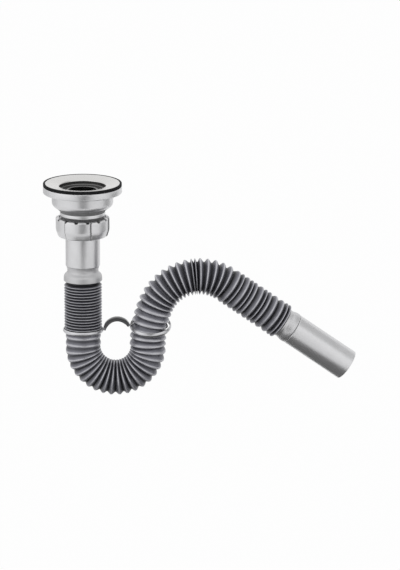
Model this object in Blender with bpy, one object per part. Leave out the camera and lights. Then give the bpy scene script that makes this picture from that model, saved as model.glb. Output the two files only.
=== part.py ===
"""Flexible sink trap: basin waste, slip joint, bellows hose with a clipped U bend, and outlet tail tube.

Metres, +Z up. The origin is on the inlet axis, in the plane of the gasket's lip and the dish's rim.
The inlet runs straight down; the hose makes its water-seal bend in the XZ plane and leaves towards +X.
"""

import math

import bmesh
import bpy
from mathutils import Matrix, Vector

MM = 0.001

# Fits
RUNNING_GAP = 0.3 * MM
RING_SIDES = 28
TUBE_SIDES = 24
HOSE_SIDES = 14

# Waste dish: a pressed stainless flange with a cup for the plug and a tail sleeve
DISH_RADIUS = 34.7 * MM
DISH_THROAT_RADIUS = 21.5 * MM
DISH_FALL = 2.4 * MM
DISH_WALL = 1.1 * MM
CUP_DEPTH = 7.0 * MM
SLEEVE_BORE_RADIUS = 12.6 * MM
SLEEVE_LENGTH = 12.0 * MM
SEAT_BEAD = 0.5 * MM

# Basin gasket: its lip stands round the dish's rim
GASKET_LIP_WIDTH = 1.5 * MM
GASKET_SEAT_WIDTH = 3.7 * MM
GASKET_SEAT_THICKNESS = 0.5 * MM
GASKET_EDGE = 0.35 * MM

# Waste body: flange, bowl, recessed neck, collar and spigot, turned as one
FLANGE_OVERHANG = 0.1 * MM
FLANGE_DEPTH = 9.1 * MM
FLANGE_EDGE = 0.5 * MM
BOWL_RADIUS = 28.5 * MM
BOWL_HEIGHT = 12.3 * MM
BOWL_CORNER = 4.6 * MM
NECK_HEIGHT = 5.6 * MM
COLLAR_STAND = 1.0 * MM
COLLAR_HEIGHT = 3.3 * MM
COLLAR_EDGE = 0.3 * MM
SPIGOT_WALL = 3.7 * MM
SPIGOT_LENGTH = 14.6 * MM
SPIGOT_EDGE = 0.6 * MM
STOP_DEPTH = 20.4 * MM

# Seal washer and coupling nut
WASHER_THICKNESS = 2.0 * MM
NUT_WALL = 5.1 * MM
NUT_STEP = 0.9 * MM
NUT_STEPS = 6
NUT_RAMP_POINTS = 6
NUT_FIRST_STEP_DEG = -129.0
NUT_STEP_WIDTH_DEG = 3.0
NUT_SHOULDER = 1.7 * MM
NUT_HEIGHT = 17.8 * MM
NUT_TAPER_HEIGHT = 6.2 * MM
NUT_TAPER = 2.1 * MM
NUT_EDGE = 0.5 * MM
NUT_LIP_THICKNESS = 2.1 * MM
NUT_MOUTH_CLEARANCE = 1.9 * MM
NUT_MOUTH_DEPTH = 2.8 * MM
NUT_TO_COLLAR = 2.0 * MM
NUT_NOTCHES = 14
NUT_NOTCH_RADIUS = 1.9 * MM
NUT_NOTCH_SIDES = 10

# Inlet tube
TUBE_RADIUS = 16.0 * MM
TUBE_WALL = 1.5 * MM
TUBE_BELOW_NUT = 28.4 * MM
TUBE_EDGE = 0.5 * MM

# Inlet cuff: a neck that plugs into the tube and a bell that takes the hose
CUFF_INSERT_LENGTH = 8.0 * MM
CUFF_WALL = 1.2 * MM
CUFF_EDGE = 0.3 * MM
INLET_NECK_STAND = 0.3 * MM
INLET_BELL_RADIUS = 17.9 * MM
INLET_NECK_HEIGHT = 6.0 * MM
INLET_SWELL_HEIGHT = 5.7 * MM
INLET_CUFF_HEIGHT = 14.1 * MM
BELL_GRIP = 5.0 * MM

# Hose: one blown bellows
HOSE_WALL = 0.9 * MM
CLOSED_PEAK_RADIUS = 17.4 * MM
CLOSED_VALLEY_RADIUS = 15.4 * MM
OPEN_PEAK_RADIUS = 16.9 * MM
OPEN_VALLEY_RADIUS = 13.7 * MM
CLOSED_PITCH = 2.72 * MM
RISER_FOLDS = 18
LEFT_ARM_FOLDS = 2
LEFT_ARM_PITCH = 7.0 * MM
BEND_RADIUS = 30.0 * MM
BEND_FOLDS = 18
RIGHT_ARM_RADIUS = 107.0 * MM
RIGHT_ARM_LEAN_DEG = 21.3
RIGHT_ARM_FOLDS = 6
HUMP_RADIUS = 43.3 * MM
HUMP_FOLDS = 14
TAIL_SLOPE_DEG = 35.5
TAIL_SWING_DEG = 6.0
TAIL_OPEN_PITCH = 7.1 * MM
TAIL_HALF_OPEN_PITCH = 5.7 * MM
TAIL_FIRST_PITCH = 4.7 * MM
TAIL_SHUT_PITCH = 4.4 * MM

# Outlet cuff and tail tube
OUTLET_NECK_INSET = 0.9 * MM
OUTLET_LIP_STAND = 0.2 * MM
OUTLET_SHOULDER_STAND = 0.3 * MM
OUTLET_CUFF_LENGTH = 11.6 * MM
TAIL_RADIUS = 14.6 * MM
TAIL_WALL = 1.4 * MM
TAIL_LENGTH = 63.4 * MM
TAIL_EDGE = 0.5 * MM

# Pipe clip: two rings joined by an arched strap, moulded as one
CLIP_BAND_HEIGHT = 4.2 * MM
CLIP_BAND_WALL = 1.1 * MM
CLIP_EDGE = 0.3 * MM
CLIP_ABOVE_BEND = 15.5 * MM
CLIP_LOOSE_ABOVE_BEND = 19.4 * MM
CLIP_LOOSE_PLAY = 1.9 * MM
CLIP_LOOSE_OFFSET = 0.9 * MM
CLIP_LOOSE_TILT_DEG = 15.0
STRAP_THICKNESS = 3.0 * MM
STRAP_WIDTH = 6.0 * MM
STRAP_RISE = 8.4 * MM
STRAP_STEPS = 14

# Motion
OUTLET_PIVOT_SHARE = 0.55
AXIS_DISPLAY_SIZE = 10.0 * MM


# Radii that follow from the piece each one fits
socket_radius = TUBE_RADIUS + RUNNING_GAP
spigot_radius = socket_radius + SPIGOT_WALL
neck_radius = spigot_radius
collar_radius = spigot_radius + COLLAR_STAND
gasket_radius = DISH_RADIUS + RUNNING_GAP + GASKET_LIP_WIDTH
gasket_bore_radius = DISH_RADIUS - GASKET_SEAT_WIDTH
flange_radius = gasket_radius + FLANGE_OVERHANG
nut_radius = spigot_radius + NUT_WALL
nut_mouth_radius = spigot_radius + NUT_MOUTH_CLEARANCE
inlet_insert_radius = TUBE_RADIUS - TUBE_WALL - RUNNING_GAP
inlet_neck_radius = inlet_insert_radius + INLET_NECK_STAND
bell_bore_radius = INLET_BELL_RADIUS - CUFF_WALL
outlet_neck_radius = TAIL_RADIUS - OUTLET_NECK_INSET
outlet_lip_radius = outlet_neck_radius + OUTLET_LIP_STAND
outlet_shoulder_radius = TAIL_RADIUS + OUTLET_SHOULDER_STAND
outlet_grip_radius = outlet_lip_radius - CUFF_WALL

# Heights that follow from the stack of pieces
under_rim = -DISH_WALL - RUNNING_GAP
dish_slope = DISH_FALL / (DISH_RADIUS - DISH_THROAT_RADIUS)
gasket_seat = under_rim - dish_slope * (RUNNING_GAP + GASKET_SEAT_WIDTH)
gasket_bottom = gasket_seat - GASKET_SEAT_THICKNESS
flange_top = gasket_bottom - RUNNING_GAP
flange_bottom = -FLANGE_DEPTH
bowl_bottom = flange_bottom - BOWL_HEIGHT
neck_bottom = bowl_bottom - NECK_HEIGHT
collar_bottom = neck_bottom - COLLAR_HEIGHT
spigot_bottom = collar_bottom - SPIGOT_LENGTH
socket_top = spigot_bottom + STOP_DEPTH
nut_top = collar_bottom - NUT_TO_COLLAR
nut_bottom = nut_top - NUT_HEIGHT
nut_lip_top = nut_bottom + NUT_LIP_THICKNESS
tube_bottom = nut_bottom - TUBE_BELOW_NUT
cuff_bottom = tube_bottom - RUNNING_GAP - INLET_CUFF_HEIGHT
hose_top = cuff_bottom - RUNNING_GAP

# Folds of the tail, from the hump to the outlet
tail_fold_pitches = [TAIL_FIRST_PITCH] * 4 + [TAIL_HALF_OPEN_PITCH] * 2 + [TAIL_SHUT_PITCH]
tail_fold_pitches += [TAIL_OPEN_PITCH] * 3 + [TAIL_SHUT_PITCH] * 2


def material(name, colour, roughness, metallic=0.0):
    """A plain surface colour for one kind of piece."""
    made = bpy.data.materials.new(name)
    made.use_nodes = True
    shader = made.node_tree.nodes["Principled BSDF"]
    shader.inputs["Base Color"].default_value = (*colour, 1.0)
    shader.inputs["Roughness"].default_value = roughness
    shader.inputs["Metallic"].default_value = metallic
    return made


def joint_frame(name, location, parent=None):
    """An empty on a joint's axis, which carries the pieces that move about it."""
    frame = bpy.data.objects.new(name, None)
    frame.empty_display_size = AXIS_DISPLAY_SIZE
    bpy.context.collection.objects.link(frame)
    frame.parent = parent
    frame.location = location - world_place(parent)
    return frame


def world_place(frame):
    """Where a joint's frame stands: none of the frames is turned."""
    place = Vector((0.0, 0.0, 0.0))
    while frame is not None:
        place += frame.location
        frame = frame.parent
    return place


def finish(bm, name, finish_material, frame, sharp_deg=32.0):
    """Close a mesh into an object that hangs under its joint's frame."""
    bmesh.ops.remove_doubles(bm, verts=bm.verts, dist=1e-7)
    bmesh.ops.recalc_face_normals(bm, faces=bm.faces)
    bmesh.ops.translate(bm, verts=bm.verts, vec=-world_place(frame))
    mesh = bpy.data.meshes.new(name)
    bm.to_mesh(mesh)
    bm.free()
    mesh.materials.append(finish_material)
    mesh.shade_smooth()
    mesh.set_sharp_from_angle(angle=math.radians(sharp_deg))
    piece = bpy.data.objects.new(name, mesh)
    bpy.context.collection.objects.link(piece)
    piece.parent = frame
    return piece


def spin_outline(bm, outline, sides, placing=None):
    """Turn a closed (radius, height) outline round the vertical axis, then place it."""
    verts = [bm.verts.new((radius, 0.0, height)) for radius, height in outline]
    edges = [bm.edges.new((verts[i - 1], verts[i])) for i in range(len(verts))]
    before = set(bm.verts) - set(verts)
    bmesh.ops.spin(bm, geom=verts + edges, axis=(0, 0, 1), cent=(0, 0, 0),
                   angle=2 * math.pi, steps=sides, use_merge=True)
    turned = [vert for vert in bm.verts if vert not in before]
    if placing is not None:
        bmesh.ops.transform(bm, matrix=placing, verts=turned)


def turned_piece(name, outline, finish_material, frame, sides=RING_SIDES, placing=None):
    bm = bmesh.new()
    spin_outline(bm, outline, sides, placing)
    return finish(bm, name, finish_material, frame)


def quarter(centre_radius, centre_height, size, start_deg, end_deg, steps=3):
    """Points on a rounded corner of an outline."""
    points = []
    for i in range(steps + 1):
        angle = math.radians(start_deg + (end_deg - start_deg) * i / steps)
        points.append((centre_radius + size * math.cos(angle), centre_height + size * math.sin(angle)))
    return points


def waste_dish(steel, frame):
    """Flange that falls to a cup; the cup's ledge carries the plug and its sleeve screws into the body."""
    throat_top = -DISH_FALL
    ledge = -CUP_DEPTH
    cup_radius = DISH_THROAT_RADIUS + DISH_WALL
    sleeve_radius = SLEEVE_BORE_RADIUS + DISH_WALL
    sleeve_bottom = ledge - SLEEVE_LENGTH
    outline = [
        (DISH_RADIUS - DISH_WALL / 2, 0.0),
        (DISH_THROAT_RADIUS + DISH_WALL / 2, throat_top + 0.1 * DISH_WALL),
        (DISH_THROAT_RADIUS, throat_top - DISH_WALL / 2),
        (DISH_THROAT_RADIUS, ledge),
        (sleeve_radius + SEAT_BEAD, ledge),
        (sleeve_radius, ledge + SEAT_BEAD),
        (SLEEVE_BORE_RADIUS, ledge + SEAT_BEAD / 2),
        (SLEEVE_BORE_RADIUS, sleeve_bottom),
        (sleeve_radius, sleeve_bottom),
        (sleeve_radius, ledge - DISH_WALL),
        (cup_radius, ledge - DISH_WALL),
        (cup_radius, throat_top - DISH_WALL),
        (DISH_RADIUS - DISH_WALL / 2, -DISH_WALL),
        (DISH_RADIUS, -DISH_WALL / 2),
    ]
    return turned_piece("waste_dish", outline, steel, frame)


def basin_gasket(rubber, frame):
    """Ring under the dish, with a lip that stands round the dish's rim."""
    lip_bore = DISH_RADIUS + RUNNING_GAP
    outline = [
        (gasket_bore_radius, gasket_seat),
        (lip_bore, under_rim),
        (lip_bore, 0.0),
        (gasket_radius - GASKET_EDGE, 0.0),
        (gasket_radius, -GASKET_EDGE),
        (gasket_radius, gasket_bottom),
        (gasket_bore_radius, gasket_bottom),
    ]
    return turned_piece("basin_gasket", outline, rubber, frame)


def waste_body(silver, frame):
    """Flange, bowl, neck, collar and spigot, with the dish's pocket above and the tube's socket below."""
    pocket_radius = DISH_THROAT_RADIUS + DISH_WALL + RUNNING_GAP
    pocket_floor = -CUP_DEPTH - DISH_WALL - RUNNING_GAP
    bore_radius = SLEEVE_BORE_RADIUS + DISH_WALL + RUNNING_GAP
    outline = [(pocket_radius, -DISH_FALL - DISH_WALL - RUNNING_GAP), (gasket_bore_radius, flange_top)]
    outline += [(flange_radius - FLANGE_EDGE, flange_top)]
    outline += [(flange_radius, flange_top - FLANGE_EDGE), (flange_radius, flange_bottom + FLANGE_EDGE)]
    outline += [(flange_radius - FLANGE_EDGE, flange_bottom), (BOWL_RADIUS, flange_bottom)]
    outline += quarter(BOWL_RADIUS - BOWL_CORNER, bowl_bottom + BOWL_CORNER, BOWL_CORNER, 0, -90)
    outline += [(neck_radius, bowl_bottom), (neck_radius, neck_bottom)]
    outline += [(collar_radius - COLLAR_EDGE, neck_bottom - 0.2 * COLLAR_HEIGHT)]
    outline += [(collar_radius, neck_bottom - 0.5 * COLLAR_HEIGHT)]
    outline += [(collar_radius - COLLAR_EDGE / 2, collar_bottom), (spigot_radius, collar_bottom)]
    outline += [(spigot_radius, spigot_bottom + SPIGOT_EDGE), (spigot_radius - SPIGOT_EDGE, spigot_bottom)]
    outline += [(socket_radius, spigot_bottom), (socket_radius, socket_top)]
    outline += [(bore_radius, socket_top), (bore_radius, pocket_floor), (pocket_radius, pocket_floor)]
    return turned_piece("waste_body", outline, silver, frame)


def seal_washer(rubber, frame):
    """Rubber ring that the nut presses against the spigot and the tube."""
    top = nut_lip_top + RUNNING_GAP + WASHER_THICKNESS
    outer = spigot_radius
    inner = socket_radius
    outline = [(inner, top), (outer, top), (outer, top - WASHER_THICKNESS), (inner, top - WASHER_THICKNESS)]
    return turned_piece("seal_washer", outline, rubber, frame)


def nut_angles():
    """Angles round the nut, with the share of the ramp that each one has fallen."""
    pitch = 360.0 / NUT_STEPS
    found = []
    for step in range(NUT_STEPS):
        start = NUT_FIRST_STEP_DEG + pitch * step
        for i in range(NUT_RAMP_POINTS):
            share = i / (NUT_RAMP_POINTS - 1)
            found.append((math.radians(start + share * (pitch - NUT_STEP_WIDTH_DEG)), share))
    return found


def coupling_nut(silver, frame):
    """Ratchet-sided nut with a shouldered, notched top, a tapered foot and an inner lip."""
    thread_radius = spigot_radius + 1.5 * RUNNING_GAP
    lip_radius = TUBE_RADIUS + 1.5 * RUNNING_GAP
    taper_top = nut_bottom + NUT_TAPER_HEIGHT
    levels = [
        (nut_mouth_radius, nut_top, 0.0),
        (nut_radius - NUT_SHOULDER, nut_top, 0.0),
        (nut_radius - 0.3 * NUT_SHOULDER, nut_top - 0.4 * NUT_SHOULDER, 0.5),
        (nut_radius, nut_top - NUT_SHOULDER, 1.0),
        (nut_radius, taper_top, 1.0),
        (nut_radius - NUT_TAPER, nut_bottom + NUT_EDGE, 1.0),
        (nut_radius - NUT_TAPER - NUT_EDGE, nut_bottom, 1.0),
        (lip_radius, nut_bottom, 0.0),
        (lip_radius, nut_lip_top, 0.0),
        (thread_radius, nut_lip_top, 0.0),
        (thread_radius, nut_top - NUT_MOUTH_DEPTH, 0.0),
        (nut_mouth_radius, nut_top - NUT_MOUTH_DEPTH + (nut_mouth_radius - thread_radius), 0.0),
    ]
    bm = bmesh.new()
    rings = []
    for radius, height, stepped in levels:
        ring = []
        for angle, share in nut_angles():
            reach = radius - stepped * share * NUT_STEP
            ring.append(bm.verts.new((reach * math.cos(angle), reach * math.sin(angle), height)))
        rings.append(ring)
    skin_between(bm, rings + rings[:1])
    nut = finish(bm, "coupling_nut", silver, frame)
    cutter = notch_cutter(silver, frame)
    cut = nut.modifiers.new("notches", "BOOLEAN")
    cut.operation = "DIFFERENCE"
    cut.solver = "EXACT"
    cut.object = cutter
    return nut


def notch_cutter(silver, frame):
    """Radial rods that bite half-round notches out of the nut's top rim."""
    bm = bmesh.new()
    inner = nut_mouth_radius - 2 * NUT_NOTCH_RADIUS
    outer = nut_radius + NUT_NOTCH_RADIUS
    middle = (inner + outer) / 2
    for i in range(NUT_NOTCHES):
        heading = math.radians(360.0 * (i + 0.5) / NUT_NOTCHES - 90.0)
        place = Matrix.Rotation(heading, 4, "Z") @ Matrix.Translation((middle, 0.0, nut_top))
        place = place @ Matrix.Rotation(math.pi / 2, 4, "Y")
        bmesh.ops.create_cone(bm, cap_ends=True, segments=NUT_NOTCH_SIDES, radius1=NUT_NOTCH_RADIUS,
                              radius2=NUT_NOTCH_RADIUS, depth=outer - inner, matrix=place)
    cutter = finish(bm, "notch_cutter", silver, frame)
    cutter.hide_render = True
    cutter.display_type = "WIRE"
    return cutter


def skin_between(bm, rings):
    """Quads between neighbouring rings of the same number of points."""
    for near, far in zip(rings, rings[1:]):
        for i in range(len(near)):
            bm.faces.new((near[i - 1], near[i], far[i], far[i - 1]))


def inlet_tube(silver, frame):
    """Straight slip tube, from its stop in the body to the cuff."""
    top = socket_top - 2 * RUNNING_GAP
    bore = TUBE_RADIUS - TUBE_WALL
    outline = [
        (bore, top),
        (TUBE_RADIUS - TUBE_EDGE, top),
        (TUBE_RADIUS, top - TUBE_EDGE),
        (TUBE_RADIUS, tube_bottom + TUBE_EDGE),
        (TUBE_RADIUS - TUBE_EDGE, tube_bottom),
        (bore, tube_bottom),
    ]
    return turned_piece("inlet_tube", outline, silver, frame, TUBE_SIDES)


def inlet_cuff(silver, frame):
    """Neck and bell between the straight tube and the hose."""
    bore = inlet_insert_radius - CUFF_WALL
    top = tube_bottom - RUNNING_GAP
    waist = top - INLET_NECK_HEIGHT
    swell = INLET_BELL_RADIUS - inlet_neck_radius
    bell_floor = cuff_bottom + BELL_GRIP
    outline = [
        (bore, tube_bottom + CUFF_INSERT_LENGTH),
        (inlet_insert_radius, tube_bottom + CUFF_INSERT_LENGTH),
        (inlet_insert_radius, top),
        (TUBE_RADIUS - TUBE_EDGE, top),
        (inlet_neck_radius + 0.2 * swell, top - 0.25 * INLET_NECK_HEIGHT),
        (inlet_neck_radius, top - 0.65 * INLET_NECK_HEIGHT),
        (inlet_neck_radius + 0.15 * swell, waist),
        (inlet_neck_radius + 0.6 * swell, waist - 0.18 * INLET_SWELL_HEIGHT),
        (inlet_neck_radius + 0.87 * swell, waist - 0.47 * INLET_SWELL_HEIGHT),
        (INLET_BELL_RADIUS, waist - INLET_SWELL_HEIGHT),
        (INLET_BELL_RADIUS, cuff_bottom + CUFF_EDGE),
        (INLET_BELL_RADIUS - CUFF_EDGE, cuff_bottom),
        (bell_bore_radius, cuff_bottom),
        (bell_bore_radius, bell_floor),
        (bore, bell_floor + 0.5 * INLET_SWELL_HEIGHT),
    ]
    return turned_piece("inlet_cuff", outline, silver, frame, TUBE_SIDES)


class Route:
    """The hose's centreline: stretches of (length, turn up or down, swing about the vertical)."""

    STEP = 0.5 * MM

    def __init__(self, start, heading, stretches):
        self.start = start
        self.heading = heading
        self.stretches = stretches
        self.length = sum(stretch[0] for stretch in stretches)

    @staticmethod
    def direction(heading, swing):
        level = math.cos(heading)
        return Vector((level * math.cos(swing), level * math.sin(swing), math.sin(heading)))

    def at(self, distance):
        """Place, heading and swing after a distance along the route."""
        place = self.start.copy()
        heading = self.heading
        swing = 0.0
        left = distance
        for index, (length, turn, sway) in enumerate(self.stretches):
            last = index == len(self.stretches) - 1
            run = left if last else min(left, length)
            count = max(1, round(run / self.STEP))
            for i in range(count):
                share = run * (i + 0.5) / (count * length)
                place += self.direction(heading + turn * share, swing + sway * share) * (run / count)
            heading += turn * run / length
            swing += sway * run / length
            left -= run
            if left <= 0:
                break
        return place, heading, swing

    def frame_at(self, distance):
        """Matrix at a distance: Z along the route, X towards the bend's left, Y level."""
        place, heading, swing = self.at(distance)
        along = self.direction(heading, swing)
        level = Vector((math.sin(swing), -math.cos(swing), 0.0))
        side = level.cross(along)
        turned = Matrix((side, level, along)).transposed().to_4x4()
        return Matrix.Translation(place) @ turned


def hose_route():
    """Down the riser, round the water seal, up the leaning arm, over the hump and along the tail."""
    down = RISER_FOLDS * CLOSED_PITCH + LEFT_ARM_FOLDS * LEFT_ARM_PITCH
    lean = math.radians(RIGHT_ARM_LEAN_DEG)
    over = math.pi / 2 - lean + math.radians(TAIL_SLOPE_DEG)
    stretches = [
        (down, 0.0, 0.0),
        (BEND_RADIUS * math.pi, math.pi, 0.0),
        (RIGHT_ARM_RADIUS * lean, -lean, 0.0),
        (HUMP_RADIUS * over, -over, math.radians(TAIL_SWING_DEG)),
        (sum(tail_fold_pitches), 0.0, 0.0),
    ]
    return Route(Vector((0.0, 0.0, hose_top)), -math.pi / 2, stretches)


def fold_pitches(route):
    """Length of each fold along the centreline, from the inlet to the outlet."""
    bend, right_arm, hump = (stretch[0] for stretch in route.stretches[1:4])
    closed = [CLOSED_PITCH] * RISER_FOLDS
    opened = [LEFT_ARM_PITCH] * LEFT_ARM_FOLDS
    opened += [bend / BEND_FOLDS] * BEND_FOLDS
    opened += [right_arm / RIGHT_ARM_FOLDS] * RIGHT_ARM_FOLDS
    opened += [hump / HUMP_FOLDS] * HUMP_FOLDS
    return closed, opened + tail_fold_pitches


def bellows_profile(route):
    """(distance, radius) pairs along the hose: a sleeve, valley and crest of every fold, and a sleeve."""
    closed, opened = fold_pitches(route)
    sleeve = bell_bore_radius - RUNNING_GAP
    profile = [(-(BELL_GRIP - RUNNING_GAP), sleeve), (0.0, sleeve)]
    distance = 0.0
    for index, pitch in enumerate(closed + opened):
        is_closed = index < len(closed)
        peak = CLOSED_PEAK_RADIUS if is_closed else OPEN_PEAK_RADIUS
        valley = CLOSED_VALLEY_RADIUS if is_closed else OPEN_VALLEY_RADIUS
        if index > 0:
            profile.append((distance, valley))
        profile.append((distance + pitch / 2, peak))
        distance += pitch
    outlet_sleeve = outlet_grip_radius - RUNNING_GAP
    profile += [(distance, outlet_sleeve), (distance + BELL_GRIP, outlet_sleeve)]
    return profile


def hose(grey, frame, route):
    """Thin-walled bellows swept along the route, open at both ends."""
    bm = bmesh.new()
    skins = []
    profile = bellows_profile(route)
    for wall in (0.0, HOSE_WALL):
        skin = []
        for distance, radius in profile:
            place = along_route(route, distance)
            ring = []
            for i in range(HOSE_SIDES):
                angle = 2 * math.pi * i / HOSE_SIDES
                point = Vector(((radius - wall) * math.cos(angle), (radius - wall) * math.sin(angle), 0.0))
                ring.append(bm.verts.new(place @ point))
            skin.append(ring)
        skins.append(skin)
    outer, inner = skins
    skin_between(bm, outer + inner[::-1] + outer[:1])
    return finish(bm, "hose", grey, frame, 60.0)


def along_route(route, distance):
    """The route's frame, carried on in a straight line before its start."""
    if distance >= 0:
        return route.frame_at(distance)
    return route.frame_at(0.0) @ Matrix.Translation((0.0, 0.0, distance))


def pipe_clip(grey, frame, route):
    """Two rings joined by an arched strap, united into one moulding."""
    down = route.stretches[0][0]
    bend = route.stretches[1][0]
    snug_bore = CLOSED_PEAK_RADIUS + RUNNING_GAP
    loose_bore = OPEN_PEAK_RADIUS + CLIP_LOOSE_PLAY
    snug_place = along_route(route, down - CLIP_ABOVE_BEND)
    loose_centre = route.at(down + bend + CLIP_LOOSE_ABOVE_BEND)[0] + Vector((CLIP_LOOSE_OFFSET, 0.0, 0.0))
    loose_place = Matrix.Translation(loose_centre)
    loose_place = loose_place @ Matrix.Rotation(math.radians(CLIP_LOOSE_TILT_DEG), 4, "X")
    bm = bmesh.new()
    spin_outline(bm, band_outline(snug_bore), RING_SIDES, snug_place)
    clip = finish(bm, "pipe_clip", grey, frame)
    bm = bmesh.new()
    spin_outline(bm, band_outline(loose_bore), RING_SIDES, loose_place)
    loose = finish(bm, "clip_loose_ring", grey, frame)
    left = snug_place.translation + Vector((snug_bore + STRAP_THICKNESS / 2, 0.0, 0.0))
    right = loose_place.translation - Vector((loose_bore + STRAP_THICKNESS / 2, 0.0, 0.0))
    strap = clip_strap(grey, frame, left, right)
    for other in (loose, strap):
        join = clip.modifiers.new("join", "BOOLEAN")
        join.operation = "UNION"
        join.solver = "EXACT"
        join.object = other
        other.hide_render = True
        other.display_type = "WIRE"
    return clip


def band_outline(bore):
    """Section of a clip ring, with broken outer edges."""
    outer = bore + CLIP_BAND_WALL
    half = CLIP_BAND_HEIGHT / 2
    return [
        (bore, half), (outer - CLIP_EDGE, half), (outer, half - CLIP_EDGE),
        (outer, CLIP_EDGE - half), (outer - CLIP_EDGE, -half), (bore, -half),
    ]


def clip_strap(grey, frame, left, right):
    """Arched bar from the snug ring to the loose one, on one arc through both roots."""
    span = (right - left).length
    rise = STRAP_RISE
    radius = (span * span / 4 + rise * rise) / (2 * rise)
    middle = (left + right) / 2
    across = (right - left).normalized()
    upward = Vector((-across.z, 0.0, across.x))
    centre = middle + upward * (rise - radius)
    half_angle = math.asin(span / 2 / radius)
    if rise > radius:
        half_angle = math.pi - half_angle
    edge = 0.25 * STRAP_THICKNESS
    half_thick = STRAP_THICKNESS / 2
    half_wide = STRAP_WIDTH / 2
    section = [
        (-half_thick, -half_wide + edge), (-half_thick + edge, -half_wide), (half_thick - edge, -half_wide),
        (half_thick, -half_wide + edge), (half_thick, half_wide - edge), (half_thick - edge, half_wide),
        (-half_thick + edge, half_wide), (-half_thick, half_wide - edge),
    ]
    bm = bmesh.new()
    rings = []
    for i in range(STRAP_STEPS + 1):
        angle = half_angle * (2 * i / STRAP_STEPS - 1)
        outward = upward * math.cos(angle) + across * math.sin(angle)
        ring = [bm.verts.new(centre + outward * (radius + u) + Vector((0.0, v, 0.0))) for u, v in section]
        rings.append(ring)
    skin_between(bm, rings)
    bm.faces.new(rings[0])
    bm.faces.new(rings[-1])
    return finish(bm, "clip_strap", grey, frame)


def outlet_cuff(silver, frame, placing):
    """Short silver neck that grips the hose's end and plugs into the tail tube."""
    insert_radius = TAIL_RADIUS - TAIL_WALL - RUNNING_GAP
    bore = insert_radius - CUFF_WALL
    start = RUNNING_GAP
    outline = [
        (outlet_grip_radius, start),
        (outlet_lip_radius - CUFF_EDGE, start),
        (outlet_lip_radius, start + CUFF_EDGE),
        (outlet_lip_radius, start + 0.12 * OUTLET_CUFF_LENGTH),
        (outlet_neck_radius, start + 0.2 * OUTLET_CUFF_LENGTH),
        (outlet_neck_radius, start + 0.3 * OUTLET_CUFF_LENGTH),
        (outlet_shoulder_radius, start + 0.6 * OUTLET_CUFF_LENGTH),
        (outlet_shoulder_radius, OUTLET_CUFF_LENGTH - TAIL_EDGE),
        (outlet_shoulder_radius - TAIL_EDGE, OUTLET_CUFF_LENGTH),
        (insert_radius, OUTLET_CUFF_LENGTH),
        (insert_radius, OUTLET_CUFF_LENGTH + CUFF_INSERT_LENGTH),
        (bore, OUTLET_CUFF_LENGTH + CUFF_INSERT_LENGTH),
        (bore, start + BELL_GRIP + 2 * RUNNING_GAP),
        (outlet_grip_radius, start + BELL_GRIP + RUNNING_GAP),
    ]
    return turned_piece("outlet_cuff", outline, silver, frame, TUBE_SIDES, placing)


def tail_tube(silver, frame, placing):
    """Straight outlet tube, with a broken edge at each end."""
    start = OUTLET_CUFF_LENGTH + RUNNING_GAP
    end = start + TAIL_LENGTH
    bore = TAIL_RADIUS - TAIL_WALL
    outline = [
        (bore, start),
        (TAIL_RADIUS - TAIL_EDGE, start),
        (TAIL_RADIUS, start + TAIL_EDGE),
        (TAIL_RADIUS, end - TAIL_EDGE),
        (TAIL_RADIUS - TAIL_EDGE, end),
        (bore, end),
    ]
    return turned_piece("tail_tube", outline, silver, frame, TUBE_SIDES, placing)


def build():
    for old in list(bpy.data.objects):
        bpy.data.objects.remove(old, do_unlink=True)
    steel = material("polished_steel", (0.78, 0.76, 0.74), 0.18, 1.0)
    silver = material("satin_silver", (0.62, 0.62, 0.64), 0.32, 0.85)
    rubber = material("black_rubber", (0.012, 0.012, 0.013), 0.6)
    grey = material("grey_plastic", (0.16, 0.16, 0.17), 0.38)

    route = hose_route()
    hose_end = route.frame_at(route.length)
    hump_start = sum(stretch[0] for stretch in route.stretches[:3])
    pivot = route.at(hump_start + OUTLET_PIVOT_SHARE * route.stretches[3][0])[0]

    waste_frame = joint_frame("waste_frame", Vector((0.0, 0.0, 0.0)))
    travel_frame = joint_frame("nut_travel_axis", Vector((0.0, 0.0, nut_bottom)), waste_frame)
    nut_frame = joint_frame("nut_turn_axis", Vector((0.0, 0.0, nut_bottom)), travel_frame)
    swivel_frame = joint_frame("swivel_axis", Vector((0.0, 0.0, tube_bottom)), waste_frame)
    stretch_frame = joint_frame("riser_stretch_axis", Vector((0.0, 0.0, hose_top)), swivel_frame)
    outlet_frame = joint_frame("outlet_bend_axis", pivot, stretch_frame)

    waste_dish(steel, waste_frame)
    basin_gasket(rubber, waste_frame)
    waste_body(silver, waste_frame)
    seal_washer(rubber, travel_frame)
    coupling_nut(silver, nut_frame)
    inlet_tube(silver, swivel_frame)
    inlet_cuff(silver, swivel_frame)
    hose(grey, stretch_frame, route)
    pipe_clip(grey, stretch_frame, route)
    outlet_cuff(silver, outlet_frame, hose_end)
    tail_tube(silver, outlet_frame, hose_end)


build()
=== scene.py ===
"""Flexible sink trap: basin waste, notched slip nut, clipped bellows hose and outlet tube, with its studio.

Every piece is placed in the frame's own space, in metres with +Z up the inlet's axis.
"""

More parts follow.
